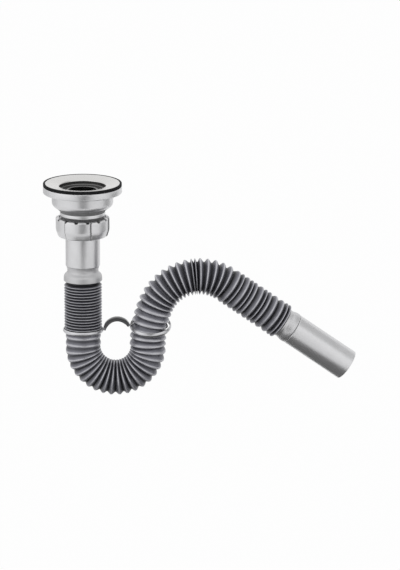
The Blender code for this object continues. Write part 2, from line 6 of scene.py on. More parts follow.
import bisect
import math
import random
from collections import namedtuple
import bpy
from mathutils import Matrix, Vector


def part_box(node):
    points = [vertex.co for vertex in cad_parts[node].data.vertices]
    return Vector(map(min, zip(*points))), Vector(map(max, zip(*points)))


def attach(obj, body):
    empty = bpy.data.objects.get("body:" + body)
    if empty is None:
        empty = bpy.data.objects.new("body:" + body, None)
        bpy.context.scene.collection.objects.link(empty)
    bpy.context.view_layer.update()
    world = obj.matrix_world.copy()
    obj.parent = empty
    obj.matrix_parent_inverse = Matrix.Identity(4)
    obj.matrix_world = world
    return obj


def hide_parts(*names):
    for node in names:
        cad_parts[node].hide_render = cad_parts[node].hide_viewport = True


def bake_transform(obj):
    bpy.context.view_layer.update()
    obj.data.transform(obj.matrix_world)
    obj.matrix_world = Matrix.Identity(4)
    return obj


bl_info = {
    "name": "Flexible Sink Trap",
    "version": (1, 0, 0),
    "blender": (4, 5, 0),
    "location": "3D View > Sidebar > Sink Trap",
    "description": "Basin waste, slip nut, clipped bellows hose and outlet tube, with finishes and studio",
    "category": "Object",
}

import bpy
from mathutils import Matrix, Vector

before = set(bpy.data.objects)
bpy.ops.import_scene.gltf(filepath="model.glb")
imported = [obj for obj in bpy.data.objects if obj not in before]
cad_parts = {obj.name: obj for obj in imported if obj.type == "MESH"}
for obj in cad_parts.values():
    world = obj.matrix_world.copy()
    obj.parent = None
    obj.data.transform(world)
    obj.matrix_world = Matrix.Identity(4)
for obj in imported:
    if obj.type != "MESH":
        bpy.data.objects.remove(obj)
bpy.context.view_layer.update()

MM = 0.001
WHITE = (1.0, 1.0, 1.0, 1.0)

# Room between pieces that fit together, and how near two points of a closed seam may lie
RUNNING_GAP = 0.3 * MM
WELD = 1e-6

# How far an edge is rounded, from the sharpest that a mould leaves to one that is smooth to the hand
CRISP = 0.2 * MM
EASED = 0.3 * MM
DULLED = 0.4 * MM
SOFT = 0.5 * MM

# Sides of the turned pieces, of the hose and of the nut, whose panels step within 3 degrees
LATHE_SIDES = 144
HOSE_SIDES = 96
NUT_SIDES = 360

# How far the silver is darkened, from 0 to 1: on the cuffs a darker tone of their own, on the nut's steps and
# in the body's recess painted shade
CUFF_DARKER_TONE = 0.25
STEP_PAINTED_SHADE = 0.9
RECESS_PAINTED_SHADE = 0.8

# How far the hose's folds are tipped this way and that, and the length of a pinched fold on the hump
# as a share of its neighbours'
UNEVENNESS = 0.16 * MM
PINCH = 0.45

# Where the clip's strap starts to taper, as a share of the way from its top to its roots
TAPER_START = 0.6

# Lowest and highest corners of the packed pieces, which the finished ones keep
dish_low, dish_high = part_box("waste_dish")
gasket_low, gasket_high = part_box("basin_gasket")
body_low, body_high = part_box("waste_body")
seal_low, seal_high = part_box("seal_washer")
nut_low, nut_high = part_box("coupling_nut")
tube_low, tube_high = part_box("inlet_tube")
cuff_low, cuff_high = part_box("inlet_cuff")


def length(name, description, millimetres):
    """A size that a user can change, kept in metres."""
    return bpy.props.FloatProperty(name=name, description=description, default=millimetres * MM,
                                   unit="LENGTH", precision=5)


def angle(name, description, degrees):
    """A turn that a user can change."""
    return bpy.props.FloatProperty(name=name, description=description, default=math.radians(degrees),
                                   subtype="ANGLE")


def colour(name, description, default):
    """A surface colour that a user can change."""
    return bpy.props.FloatVectorProperty(name=name, description=description, default=default, subtype="COLOR",
                                         size=3, min=0.0, max=1.0)


def amount(name, description, default):
    """A plain number that a user can change."""
    return bpy.props.FloatProperty(name=name, description=description, default=default)


def count(name, description, default):
    """A whole number that a user can change."""
    return bpy.props.IntProperty(name=name, description=description, default=default, min=1)


class WasteSizes(bpy.types.PropertyGroup):
    """Basin waste: dish, gasket and body."""

    dish_radius: length("Dish radius", "Outer edge of the pressed dish", dish_high.x / MM)
    throat_radius: length("Throat radius", "Mouth of the cup in the dish", 21.5)
    dish_fall: length("Dish fall", "How far the dish falls from its rim to its throat", 2.4)
    sheet: length("Sheet", "Thickness of the pressed steel", 1.1)
    cup_depth: length("Cup depth", "Ledge of the cup, below the rim", 7.0)
    sleeve_bore: length("Sleeve bore", "Inside radius of the dish's tail sleeve", 12.6)
    seat_bead: length("Seat bead", "Height of the rolled bead round the sleeve's mouth", 0.8)
    gasket_seat: length("Gasket seat", "How far the rubber ring reaches in under the dish", 3.7)
    flange_depth: length("Flange depth", "Foot of the body's flange, below the rim", 9.1)
    bowl_radius: length("Bowl radius", "Outside of the bowl under the flange", 28.5)
    bowl_height: length("Bowl height", "Height of the bowl", 12.3)
    bowl_corner: length("Bowl corner", "Rounding of the bowl's foot", 3.2)
    foot_inset: length("Foot inset", "How far the bowl's foot runs in", 4.6)
    neck_radius: length("Neck radius", "Outside of the recessed neck and of the spigot", 20.0)
    neck_height: length("Neck height", "Height of the recessed neck", 5.6)
    collar_stand: length("Collar stand", "How far the collar stands out from the neck", 1.0)
    collar_height: length("Collar height", "Height of the collar", 3.3)
    stop_depth: length("Stop depth", "How far the tube's socket reaches up the spigot", 20.4)
    thread_lead: length("Thread lead", "Travel of the nut in one turn", 2.0)
    thread_depth: length("Thread depth", "Depth of the spigot's thread", 0.55)


class SlipJointSizes(bpy.types.PropertyGroup):
    """Slip joint: nut, straight tube and the cuff that takes the hose."""

    nut_radius: length("Nut radius", "Reach of the nut's proud panel edges", 25.1)
    nut_step: length("Nut step", "Drop at the end of each grip panel", 0.9)
    nut_panels: count("Nut panels", "Grip panels round the nut", 6)
    nut_first_step: angle("First step", "Where the first panel starts", -129.0)
    nut_step_width: angle("Step width", "Width of the ramp between two panels", 3.0)
    nut_shoulder: length("Nut shoulder", "Rounding of the nut's top rim", 1.7)
    nut_taper_height: length("Nut taper height", "Height of the nut's tapered foot", 6.2)
    nut_taper: length("Nut taper", "How far the foot tapers in", 2.1)
    nut_lip: length("Nut lip", "Thickness of the nut's inner lip", 2.1)
    nut_mouth: length("Nut mouth", "Inside radius of the nut's top", 21.9)
    nut_mouth_depth: length("Nut mouth depth", "Depth of the plain mouth above the thread", 2.8)
    notches: count("Notches", "Half-round notches in the top rim", 14)
    notch_radius: length("Notch radius", "Radius of each notch", 1.9)
    tube_wall: length("Tube wall", "Wall of the straight tube", 1.5)
    cuff_insert: length("Cuff insert", "How far each cuff plugs into its tube", 8.0)
    cuff_wall: length("Cuff wall", "Wall of both cuffs", 1.2)
    neck_radius: length("Cuff neck radius", "Waist of the inlet cuff", 14.5)
    neck_height: length("Cuff neck height", "Height of the inlet cuff's waist", 6.0)
    swell_height: length("Swell height", "Height of the inlet cuff's bell shoulder", 5.7)
    grip: length("Grip", "How far the hose sits in each cuff", 5.0)


class HoseSizes(bpy.types.PropertyGroup):
    """Bellows hose and its route."""

    wall: length("Wall", "Wall of the blown bellows", 0.9)
    closed_peak: length("Closed crest", "Crest radius of the folds that are pushed together", 17.6)
    closed_valley: length("Closed groove", "Groove radius of the folds that are pushed together", 15.6)
    open_peak: length("Open crest", "Crest radius of the opened folds", 17.1)
    open_valley: length("Open groove", "Groove radius of the folds over the hump", 13.3)
    arm_peak: length("Arm crest", "Crest radius of the two folds above the bend", 16.4)
    arm_valley: length("Arm groove", "Groove radius of the two folds above the bend", 15.2)
    bend_valley: length("Bend groove", "Groove radius of the folds round the bend", 14.5)
    rise_valley: length("Rise groove", "Groove radius of the folds up the rising arm", 14.1)
    tail_valley: length("Tail groove", "Groove radius of the folds of the tail", 14.3)
    closed_pitch: length("Closed pitch", "Length of a closed fold", 2.72)
    riser_folds: count("Riser folds", "Closed folds below the cuff", 18)
    arm_pitch: length("Arm pitch", "Length of the folds above the bend", 7.0)
    arm_folds: count("Arm folds", "Folds above the bend", 2)
    bend_radius: length("Bend radius", "Water seal bend, on the centreline", 30.0)
    bend_folds: count("Bend folds", "Folds round the water seal bend", 18)
    bend_squeeze: amount("Bend squeeze", "How flat the folds lie on the inside of the bend", 0.75)
    right_arm_radius: length("Right arm radius", "Gentle curve of the rising arm", 107.0)
    right_arm_lean: angle("Right arm lean", "How far the rising arm leans outwards", 21.3)
    right_arm_folds: count("Right arm folds", "Folds up the rising arm", 6)
    hump_radius: length("Hump radius", "Bend over the top, on the centreline", 43.3)
    hump_folds: count("Hump folds", "Folds over the top", 14)
    tail_slope: angle("Tail slope", "Fall of the tail below level", 35.5)
    tail_swing: angle("Tail swing", "Turn of the tail towards the back", 6.0)
    wide_pitch: length("Wide pitch", "Open folds of the tail", 7.4)
    half_pitch: length("Half-open pitch", "Half-open folds of the tail", 5.35)
    pinched_pitch: length("Pinched pitch", "Folds of the tail that are pushed together", 3.4)
    pinched_valley: length("Pinched groove", "Groove radius of the pinched folds", 14.8)


class OutletSizes(bpy.types.PropertyGroup):
    """Outlet cuff and tail tube."""

    tail_radius: length("Tail radius", "Outside of the tail tube", 14.6)
    tail_wall: length("Tail wall", "Wall of the tail tube", 1.4)
    tail_length: length("Tail length", "Length of the tail tube", 63.4)
    cuff_length: length("Cuff length", "Visible length of the outlet cuff", 11.6)
    neck_inset: length("Neck inset", "How far the cuff's neck lies below the tube", 0.9)
    lip_stand: length("Lip stand", "How far the cuff's lip stands out from its neck", 0.2)
    shoulder_stand: length("Shoulder stand", "How far the cuff's shoulder stands out from the tube", 0.3)


class ClipSizes(bpy.types.PropertyGroup):
    """Moulded clip that holds the bend's two arms together."""

    band_height: length("Band height", "Height of the snug ring", 3.4)
    loose_height: length("Loose ring height", "Height of the loose ring", 4.4)
    band_wall: length("Band wall", "Wall of both rings", 1.1)
    above_bend: length("Above the bend", "Snug ring, above the bend's start", 15.5)
    loose_above_bend: length("Loose ring above the bend", "Loose ring, above the bend's end", 19.4)
    loose_play: length("Loose play", "Room between the loose ring and the hose", 1.2)
    loose_offset: length("Loose offset", "How far the loose ring hangs off the hose's axis", 0.9)
    loose_tilt: angle("Loose tilt", "How far the loose ring's front drops", 15.0)
    strap_thickness: length("Strap thickness", "Thickness of the arched strap", 3.7)
    strap_taper: amount("Strap taper", "Share of its thickness that the strap loses at its roots", 0.35)
    strap_width: length("Strap width", "Width of the arched strap", 6.0)
    strap_rise: length("Strap rise", "Height of the strap's arch", 8.4)


class Finishes(bpy.types.PropertyGroup):
    """Colours of the finishes."""

    silver: colour("Silver", "Satin plated plastic of the body, nut, tubes and cuffs", (0.66, 0.66, 0.67))
    steel: colour("Steel", "Polished stainless dish", (0.64, 0.635, 0.625))
    rubber: colour("Rubber", "Gasket and seal", (0.009, 0.009, 0.010))
    # The crest colour is a painted highlight and the groove colour is painted shade; the flank is the hose's
    # own grey
    hose_crest_highlight: colour("Hose crest", "Rounded crests of the bellows", (0.50, 0.50, 0.53))
    hose_flank: colour("Hose flank", "Flanks between crest and groove", (0.20, 0.20, 0.23))
    hose_groove_shade: colour("Hose groove", "Grooves of the bellows", (0.006, 0.006, 0.008))
    clip: colour("Clip", "Moulded clip", (0.60, 0.60, 0.62))
    floor: colour("Floor", "Studio floor and backdrop", (0.6, 0.6, 0.6))


class Studio(bpy.types.PropertyGroup):
    """Camera and lights."""

    pixel: length("Pixel size", "Real size of one picture element at the object", 0.93)
    rows: count("Picture rows", "Height of the picture", 570)
    elevation: angle("Elevation", "Camera above level", 14.6)
    distance: length("Distance", "Camera to the object", 4500.0)
    aim_x: length("Aim X", "Point that the picture is centred on", 108.8)
    aim_z: length("Aim Z", "Point that the picture is centred on", -97.7)
    ambient: amount("Ambient", "Strength of the even studio light", 0.9)
    left_box: amount("Left softbox", "Brightness of the large softbox on the left", 0.3)
    right_box: amount("Right softbox", "Brightness of the softbox on the right", 0.12)
    top_box: amount("Top softbox", "Brightness of the softbox overhead", 0.15)
    floor_drop: length("Floor drop", "Studio floor, below the basin seat", 450.0)


class Wire:
    """One socket of a node, so that shader maths reads as an expression."""

    def __init__(self, nodes, socket):
        self.nodes = nodes
        self.socket = socket

    def out(self, name):
        """Another output of the same node."""
        return Wire(self.nodes, self.socket.node.outputs[name])

    def maths(self, operation, first, second=None):
        values = {0: first} if second is None else {0: first, 1: second}
        return self.nodes.add("ShaderNodeMath", {"operation": operation}, values)

    def __add__(self, other):
        return self.maths("ADD", self, other)

    __radd__ = __add__

    def __sub__(self, other):
        return self.maths("SUBTRACT", self, other)

    def __rsub__(self, other):
        return self.maths("SUBTRACT", other, self)

    def __mul__(self, other):
        return self.maths("MULTIPLY", self, other)

    __rmul__ = __mul__

    def __pow__(self, other):
        return self.maths("POWER", self, other)

    def __abs__(self):
        return self.maths("ABSOLUTE", self)

    def clamped(self):
        return self.maths("MINIMUM", self.maths("MAXIMUM", self, 0.0), 1.0)


class Nodes:
    """A tree of shader nodes under construction."""

    def __init__(self, tree):
        self.tree = tree

    def add(self, kind, settings=None, sockets=None, output=0):
        """Add a node: its settings first, then the values or links of its sockets."""
        node = self.tree.nodes.new(kind)
        for name, value in (settings or {}).items():
            if name == "stops":
                self.set_stops(node.color_ramp, value)
            else:
                setattr(node, name, value)
        for key, value in (sockets or {}).items():
            self.feed(node.inputs[key], value)
        return Wire(self, node.outputs[output]) if node.outputs else None

    @staticmethod
    def set_stops(ramp, stops):
        while len(ramp.elements) < len(stops):
            ramp.elements.new(1.0)
        for element, (place, shade) in zip(ramp.elements, stops):
            element.position = place
            element.color = (*shade[:3], 1.0)

    def feed(self, socket, value):
        if isinstance(value, Wire):
            self.tree.links.new(value.socket, socket)
        else:
            socket.default_value = value

    def glow(self, level):
        """Plain light of one grey level."""
        return self.add("ShaderNodeEmission", None, {"Color": (level, level, level, 1.0), "Strength": 1.0})

    def seen_directly(self):
        """1 where the camera, a reflection or clear material looks at it, and 0 where light bounces."""
        camera = self.add("ShaderNodeLightPath", output="Is Camera Ray")
        return (camera + camera.out("Is Glossy Ray") + camera.out("Is Transmission Ray")).clamped()


class Surface(Nodes):
    """A material under construction."""

    def __init__(self, name):
        self.material = bpy.data.materials.new(name)
        self.material.use_nodes = True
        super().__init__(self.material.node_tree)
        self.shader = self.tree.nodes["Principled BSDF"]

    def show(self, shader):
        """Put a shader in place of the usual one."""
        self.feed(self.tree.nodes["Material Output"].inputs["Surface"], shader)

    def set(self, **values):
        """Give the shader's sockets their values or links: base_color=..., roughness=..."""
        for name, value in values.items():
            self.feed(self.shader.inputs[name.replace("_", " ").title().replace("Ior", "IOR")], value)

    def mask(self, name):
        """A number that the mesh keeps at each of its points, and 0 on a mesh that has none."""
        return self.add("ShaderNodeAttribute", {"attribute_name": name}, output="Fac")

    def bench(self):
        """Place on the piece as it stood on the bench, before it was bent or tilted."""
        return self.add("ShaderNodeAttribute", {"attribute_name": "bench"}, output="Vector")

    def parts(self, vector):
        """A vector's x, y and z."""
        x = self.add("ShaderNodeSeparateXYZ", None, {0: vector})
        return x, x.out("Y"), x.out("Z")

    def stretched(self, vector, scale):
        return self.add("ShaderNodeMapping", {"vector_type": "POINT"}, {"Vector": vector, "Scale": scale})

    def noise(self, vector, scale, detail=3.0, roughness=0.5):
        sockets = {"Vector": vector, "Scale": scale, "Detail": detail, "Roughness": roughness}
        return self.add("ShaderNodeTexNoise", None, sockets)

    def blend(self, factor, first, second):
        """Mix two colours."""
        return self.add("ShaderNodeMix", {"data_type": "RGBA"}, {0: factor, 6: first, 7: second}, 2)

    def bump(self, height, distance, strength):
        sockets = {"Strength": strength, "Distance": distance, "Height": height}
        return self.add("ShaderNodeBump", None, sockets)


def shade_of(rgb, factor=1.0):
    """An RGBA colour from a property's RGB, made lighter or darker."""
    return (*(min(1.0, channel * factor) for channel in rgb), 1.0)


def satin_silver(name, rgb):
    """Satin plating on moulded plastic: faint mottling, drawn streaks and an orange-peel skin, darkened with
    painted shade in the recess, bore and steps, and with the cuffs' own darker tone.
    """
    surface = Surface(name)
    place = surface.bench()
    mottle = surface.noise(place, 140.0, 4.0, 0.6)
    streaks = surface.noise(surface.stretched(place, (1.0, 1.0, 0.06)), 2200.0, 2.0)
    peel = surface.noise(place, 1500.0, 2.0)
    grain = surface.noise(place, 760.0, 3.0, 0.6)
    tint = surface.blend((0.5 * mottle + 0.5 * grain).clamped(), shade_of(rgb, 0.86), shade_of(rgb, 1.12))
    # Painted shade in the body's recess and bore and on the nut's steps, and the cuffs' own darker tone
    bare = surface.mask("bare")
    tint = surface.blend(bare, tint, shade_of(rgb, 0.42))
    rough = 0.29 + 0.06 * mottle + 0.05 * streaks + 0.6 * bare
    relief = surface.bump(0.6 * peel + 0.4 * streaks, 0.012 * MM, 0.5)
    surface.set(base_color=tint, metallic=0.96, roughness=rough, normal=relief)
    return surface.material


def polished_steel(name, rgb):
    """Pressed stainless sheet, polished round and round."""
    surface = Surface(name)
    place = surface.bench()
    x, y, z = surface.parts(place)
    radius = (x * x + y * y) ** 0.5
    across = surface.add("ShaderNodeCombineXYZ", None, {0: radius * 5200.0, 1: z * 900.0, 2: 0.0})
    rings = surface.noise(across, 1.0, 3.0)
    haze = surface.noise(place, 90.0, 3.0)
    tint = surface.blend(haze, shade_of(rgb, 0.96), shade_of(rgb, 1.03))
    # Painted shade inside the cup, where the mesh is marked
    tint = surface.blend(surface.mask("bare"), tint, shade_of(rgb, 0.22))
    relief = surface.bump(rings, 0.006 * MM, 0.6)
    surface.set(base_color=tint, metallic=1.0, roughness=0.17 + 0.06 * rings + 0.05 * haze, normal=relief)
    return surface.material


def black_rubber(name, rgb):
    """Moulded rubber: fine grain with a dusty bloom."""
    surface = Surface(name)
    place = surface.bench()
    grain = surface.noise(place, 2600.0, 3.0, 0.7)
    bloom = surface.noise(place, 160.0, 4.0, 0.65)
    tint = surface.blend((bloom * 1.8 - 0.7).clamped(), shade_of(rgb), shade_of(rgb, 2.2))
    relief = surface.bump(grain, 0.03 * MM, 0.5)
    surface.set(base_color=tint, roughness=0.6 + 0.2 * bloom, normal=relief, specular_ior_level=0.1)
    return surface.material


def bellows_grey(name, crest_highlight_rgb, flank_rgb, groove_shade_rgb):
    """Blown bellows with a satin grey sheen: painted highlights on the crests, painted shade in the grooves,
    and two faint mould lines.
    """
    surface = Surface(name)
    place = surface.bench()
    crest = surface.mask("crest")
    _, side, _ = surface.parts(place)
    flow = surface.noise(surface.stretched(place, (1.0, 1.0, 0.25)), 300.0, 4.0, 0.6)
    grain = surface.noise(place, 2400.0, 2.0)
    seam = (1.0 - abs(side) * (1 / (0.35 * MM))).clamped()
    # Painted highlight on the crests and painted shade in the grooves, from the crest mark, with a little
    # random flow
    crest_highlight_groove_shade = (crest + 0.14 * (flow - 0.5)).clamped()
    dark = shade_of(flank_rgb, 0.5)
    stops = [(0.08, groove_shade_rgb), (0.4, dark), (0.75, flank_rgb), (0.9, crest_highlight_rgb)]
    tint = surface.add("ShaderNodeValToRGB", {"stops": stops}, {"Fac": crest_highlight_groove_shade})
    relief = surface.bump(0.25 * grain + 0.5 * flow + 1.5 * seam, 0.06 * MM, 0.6)
    rough = 0.42 - 0.12 * crest_highlight_groove_shade + 0.08 * flow
    surface.set(base_color=tint, metallic=0.5, roughness=rough, normal=relief)
    return surface.material


def clip_grey(name, rgb):
    """Injection-moulded grey with a soft gloss, and painted shade on the strap and inside the rings."""
    surface = Surface(name)
    place = surface.bench()
    flow = surface.noise(place, 220.0, 4.0, 0.6)
    grain = surface.noise(place, 3000.0, 2.0)
    tint = surface.blend(flow, shade_of(rgb, 0.88), shade_of(rgb, 1.1))
    # Painted shade on the strap and inside the rings
    tint = surface.blend(surface.mask("strap"), tint, shade_of(rgb, 0.17))
    relief = surface.bump(0.4 * grain + 0.6 * flow, 0.02 * MM, 0.4)
    surface.set(base_color=tint, metallic=0.85, roughness=0.26 + 0.1 * flow, normal=relief)
    return surface.material


FINISH_MAKERS = {
    "satin_plating": (satin_silver, "silver"),
    "polished_sheet": (polished_steel, "steel"),
    "moulded_rubber": (black_rubber, "rubber"),
    "bellows_skin": (bellows_grey, "hose_crest_highlight", "hose_flank", "hose_groove_shade"),
    "clip_moulding": (clip_grey, "clip"),
}


def finish_named(name):
    """The finish of that name, made from the user's colours the first time it is asked for."""
    make, *colours = FINISH_MAKERS[name]
    chosen = bpy.context.scene.sinktrap_finishes
    return bpy.data.materials.get(name) or make(name, *(getattr(chosen, key) for key in colours))


def from_axis(place):
    """A point's distance from the upright axis of the bench."""
    return math.hypot(place.x, place.y)


def around_axis(place):
    """A point's heading from the upright axis of the bench."""
    return math.atan2(place.y, place.x)


def move_out(vertex, radius):
    """Move a point in or out, to a new distance from the upright axis."""
    share = radius / from_axis(vertex.co)
    vertex.co.x *= share
    vertex.co.y *= share


def only(piece):
    """Select one piece and nothing else, because an operator acts on all that is selected."""
    bpy.ops.object.select_all(action="DESELECT")
    piece.select_set(True)
    bpy.context.view_layer.objects.active = piece


def rounded(corners, steps=5):
    """An outline from (radius, height, fillet) corners, each fillet a short parabola."""
    outline = []
    for i, (radius, height, fillet) in enumerate(corners):
        corner = Vector((radius, height))
        if fillet <= 0:
            outline.append(tuple(corner))
            continue
        before = Vector(corners[i - 1][:2]) - corner
        after = Vector(corners[(i + 1) % len(corners)][:2]) - corner
        start = before.normalized() * min(fillet, 0.48 * before.length)
        end = after.normalized() * min(fillet, 0.48 * after.length)
        for step in range(steps + 1):
            share = step / steps
            outline.append(tuple(corner + start * (1 - share) ** 2 + end * share ** 2))
    return outline


def turn(name, outline, sides=LATHE_SIDES):
    """Draw a point round a closed (radius, height) outline and spin it about the vertical axis."""
    bpy.ops.object.select_all(action="DESELECT")
    bpy.ops.mesh.primitive_plane_add(size=MM, location=(0, 0, 0))
    piece = bpy.context.object
    piece.name = name
    piece.data.name = name
    bpy.ops.object.mode_set(mode="EDIT")
    bpy.ops.mesh.select_all(action="SELECT")
    bpy.ops.mesh.merge(type="CENTER")
    here = Vector((0, 0, 0))
    for index, (radius, height) in enumerate(outline + outline[:1]):
        step = Vector((radius, 0, height)) - here
        if index == 0:
            bpy.ops.transform.translate(value=step)
        else:
            bpy.ops.mesh.extrude_vertices_move(TRANSFORM_OT_translate={"value": step})
        here += step
    spin_section(sides, 2 * math.pi, (0, 0, 0), (0, 0, 1))
    return piece


def spin_section(steps, turned, centre, axis):
    """Spin the section that is open in edit mode, close its seam and point its faces outwards."""
    bpy.ops.mesh.select_all(action="SELECT")
    bpy.ops.mesh.spin(steps=steps, angle=turned, center=centre, axis=axis)
    bpy.ops.mesh.select_all(action="SELECT")
    bpy.ops.mesh.remove_doubles(threshold=WELD)
    bpy.ops.mesh.normals_make_consistent(inside=False)
    bpy.ops.object.mode_set(mode="OBJECT")


def mark_bench(piece):
    """Keep each point's present place, for finishes that follow the surface."""
    places = piece.data.attributes.new("bench", "FLOAT_VECTOR", "POINT")
    for vertex, place in zip(piece.data.vertices, places.data):
        place.vector = vertex.co


def mark(piece, name, value_at):
    """Keep a number from 0 to 1 at each point, worked out from its place, for the piece's finish."""
    marks = piece.data.attributes.new(name, "FLOAT", "POINT")
    for vertex, kept in zip(piece.data.vertices, marks.data):
        kept.value = value_at(vertex.co)


def apply_modifiers(piece):
    only(piece)
    for modifier in list(piece.modifiers):
        bpy.ops.object.modifier_apply(modifier=modifier.name)


def put_in_place(piece, placing):
    """Move a piece from the bench to its place, and leave its object at the origin."""
    only(piece)
    piece.matrix_world = placing
    bpy.ops.object.transform_apply(location=True, rotation=True, scale=True)


def finish_piece(piece, finish, smooth_deg=35.0):
    """Smooth the shading and give the piece its finish."""
    only(piece)
    bpy.ops.object.shade_smooth_by_angle(angle=math.radians(smooth_deg))
    piece.data.materials.clear()
    piece.data.materials.append(finish_named(finish))


def cut_with(piece, tool, operation="DIFFERENCE"):
    """Cut a piece with another, or unite them, and remove the other."""
    change = piece.modifiers.new("cut", "BOOLEAN")
    change.operation = operation
    change.solver = "EXACT"
    change.object = tool
    apply_modifiers(piece)
    bpy.data.objects.remove(tool, do_unlink=True)


class SINKTRAP_OT_waste_dish(bpy.types.Operator):
    """Press the dish: rim, conical fall, cup, seat bead and sleeve"""

    bl_idname = "sinktrap.waste_dish"
    bl_label = "Waste Dish"

    def execute(self, context):
        sizes = context.scene.sinktrap_waste
        sheet = sizes.sheet
        ledge = -sizes.cup_depth
        sleeve = sizes.sleeve_bore + sheet
        cup = sizes.throat_radius + sheet
        bead = sizes.seat_bead
        corners = [
            (sizes.dish_radius, 0.0, 0.9 * sheet),
            (sizes.throat_radius, -sizes.dish_fall, 1.3 * MM),
            (sizes.throat_radius, ledge, 1.2 * MM),
            (sleeve + 1.6 * bead, ledge, EASED),
            (sleeve + 1.2 * bead, ledge + bead, SOFT),
            (sizes.sleeve_bore, ledge + bead, 0.6 * MM),
            (sizes.sleeve_bore, dish_low.z, EASED),
            (sleeve, dish_low.z, EASED),
            (sleeve, ledge - sheet, EASED),
            (cup, ledge - sheet, 0.8 * MM),
            (cup, -sizes.dish_fall - 1.2 * sheet, 0.6 * MM),
            (sizes.dish_radius, -1.1 * sheet, EASED),
        ]
        dish = turn("dish_turned", rounded(corners))
        mark_bench(dish)
        under_fall = -sizes.dish_fall - sheet
        # Painted shade: the inside of the cup, below the fall, is darkened
        mark(dish, "bare", lambda place: from_axis(place) < cup and place.z < under_fall)
        finish_piece(dish, "polished_sheet")
        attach(dish, "waste")
        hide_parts("waste_dish")
        return {"FINISHED"}


class SINKTRAP_OT_basin_gasket(bpy.types.Operator):
    """Mould the gasket, with its lip round the dish's rim"""

    bl_idname = "sinktrap.basin_gasket"
    bl_label = "Basin Gasket"

    def execute(self, context):
        sizes = context.scene.sinktrap_waste
        under_rim = -1.1 * sizes.sheet - RUNNING_GAP
        slope = sizes.dish_fall / (sizes.dish_radius - sizes.throat_radius)
        lip_bore = sizes.dish_radius + RUNNING_GAP
        bore = sizes.dish_radius - sizes.gasket_seat
        corners = [
            (bore, under_rim - slope * (lip_bore - bore), CRISP),
            (lip_bore, under_rim, CRISP),
            (lip_bore, 0.0, EASED),
            (gasket_high.x, 0.0, 0.6 * MM),
            (gasket_high.x, gasket_low.z, DULLED),
            (bore, gasket_low.z, CRISP),
        ]
        gasket = turn("gasket_moulded", rounded(corners))
        mark_bench(gasket)
        finish_piece(gasket, "moulded_rubber")
        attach(gasket, "waste")
        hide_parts("basin_gasket")
        return {"FINISHED"}


class SINKTRAP_OT_waste_body(bpy.types.Operator):
    """Turn the body: flange, bowl, recessed neck, collar and threaded spigot"""

    bl_idname = "sinktrap.waste_body"
    bl_label = "Waste Body"

    def execute(self, context):
        sizes = context.scene.sinktrap_waste
        flange, top = body_high.x, body_high.z
        seat = sizes.dish_radius - sizes.gasket_seat
        flange_bottom = -sizes.flange_depth
        bowl_bottom = flange_bottom - sizes.bowl_height
        neck_bottom = bowl_bottom - sizes.neck_height
        foot = sizes.bowl_radius - sizes.foot_inset
        neck = sizes.neck_radius
        collar = neck + sizes.collar_stand
        collar_bottom = neck_bottom - sizes.collar_height
        spigot_bottom = body_low.z
        socket = tube_high.x + RUNNING_GAP
        socket_top = spigot_bottom + sizes.stop_depth
        pocket = sizes.throat_radius + sizes.sheet + RUNNING_GAP
        pocket_floor = -sizes.cup_depth - sizes.sheet - RUNNING_GAP
        bore = sizes.sleeve_bore + sizes.sheet + RUNNING_GAP
        upper = [
            (pocket, -sizes.dish_fall - sizes.sheet - RUNNING_GAP, EASED),
            (seat, top, EASED),
            (flange, top, SOFT),
            (flange, flange_bottom, 0.9 * MM),
            (sizes.bowl_radius, flange_bottom, 0.7 * MM),
            (sizes.bowl_radius, bowl_bottom + 1.0 * MM, sizes.bowl_corner),
            (foot, bowl_bottom - 2.2 * MM, 1.6 * MM),
            (neck + 0.5 * MM, neck_bottom + 0.5 * MM, 0.8 * MM),
            (neck + 0.3 * MM, neck_bottom, CRISP),
            (collar, neck_bottom, 1.2 * MM),
            (collar, collar_bottom, 0.9 * MM),
            (neck, collar_bottom, CRISP),
        ]
        rings = max(2, round((collar_bottom - spigot_bottom) / (sizes.thread_lead / 8)))
        reach = spigot_bottom - collar_bottom
        spigot = [(neck, collar_bottom + reach * i / rings, 0.0) for i in range(1, rings)]
        lower = [
            (neck, spigot_bottom, SOFT),
            (socket, spigot_bottom, DULLED),
            (socket, socket_top, EASED),
            (bore, socket_top, DULLED),
            (bore, pocket_floor, DULLED),
            (pocket, pocket_floor, DULLED),
        ]
        body = turn("body_turned", rounded(upper + spigot + lower))
        self.cut_thread(body, sizes, collar_bottom, spigot_bottom)
        mark_bench(body)

        # Painted shade: the spigot and the bores are darkened fully, and the recess under the bowl's foot
        # nearly so
        def painted_shade_at(place):
            radius = from_axis(place)
            if radius < neck + 0.2 * sizes.collar_stand:
                return 1.0
            under_foot = neck_bottom - 0.1 * MM < place.z < bowl_bottom - 0.8 * MM
            inside = radius < sizes.bowl_radius - 0.3 * sizes.foot_inset
            return RECESS_PAINTED_SHADE if under_foot and inside else 0.0

        mark(body, "bare", painted_shade_at)
        finish_piece(body, "satin_plating")
        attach(body, "waste")
        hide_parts("waste_body")
        return {"FINISHED"}

    @staticmethod
    def cut_thread(body, sizes, top, bottom):
        """Press the spigot's wall in along a helix, with plain ends."""
        plain = 0.5 * sizes.thread_lead
        for vertex in body.data.vertices:
            radius = from_axis(vertex.co)
            from_end = min(top - vertex.co.z, vertex.co.z - bottom)
            if abs(radius - sizes.neck_radius) > 0.05 * MM or from_end < plain:
                continue
            turns = vertex.co.z / sizes.thread_lead + around_axis(vertex.co) / (2 * math.pi)
            wave = 0.5 - 0.5 * math.cos(2 * math.pi * turns)
            fade = min(1.0, (from_end - plain) / plain)
            move_out(vertex, radius - sizes.thread_depth * fade * wave)


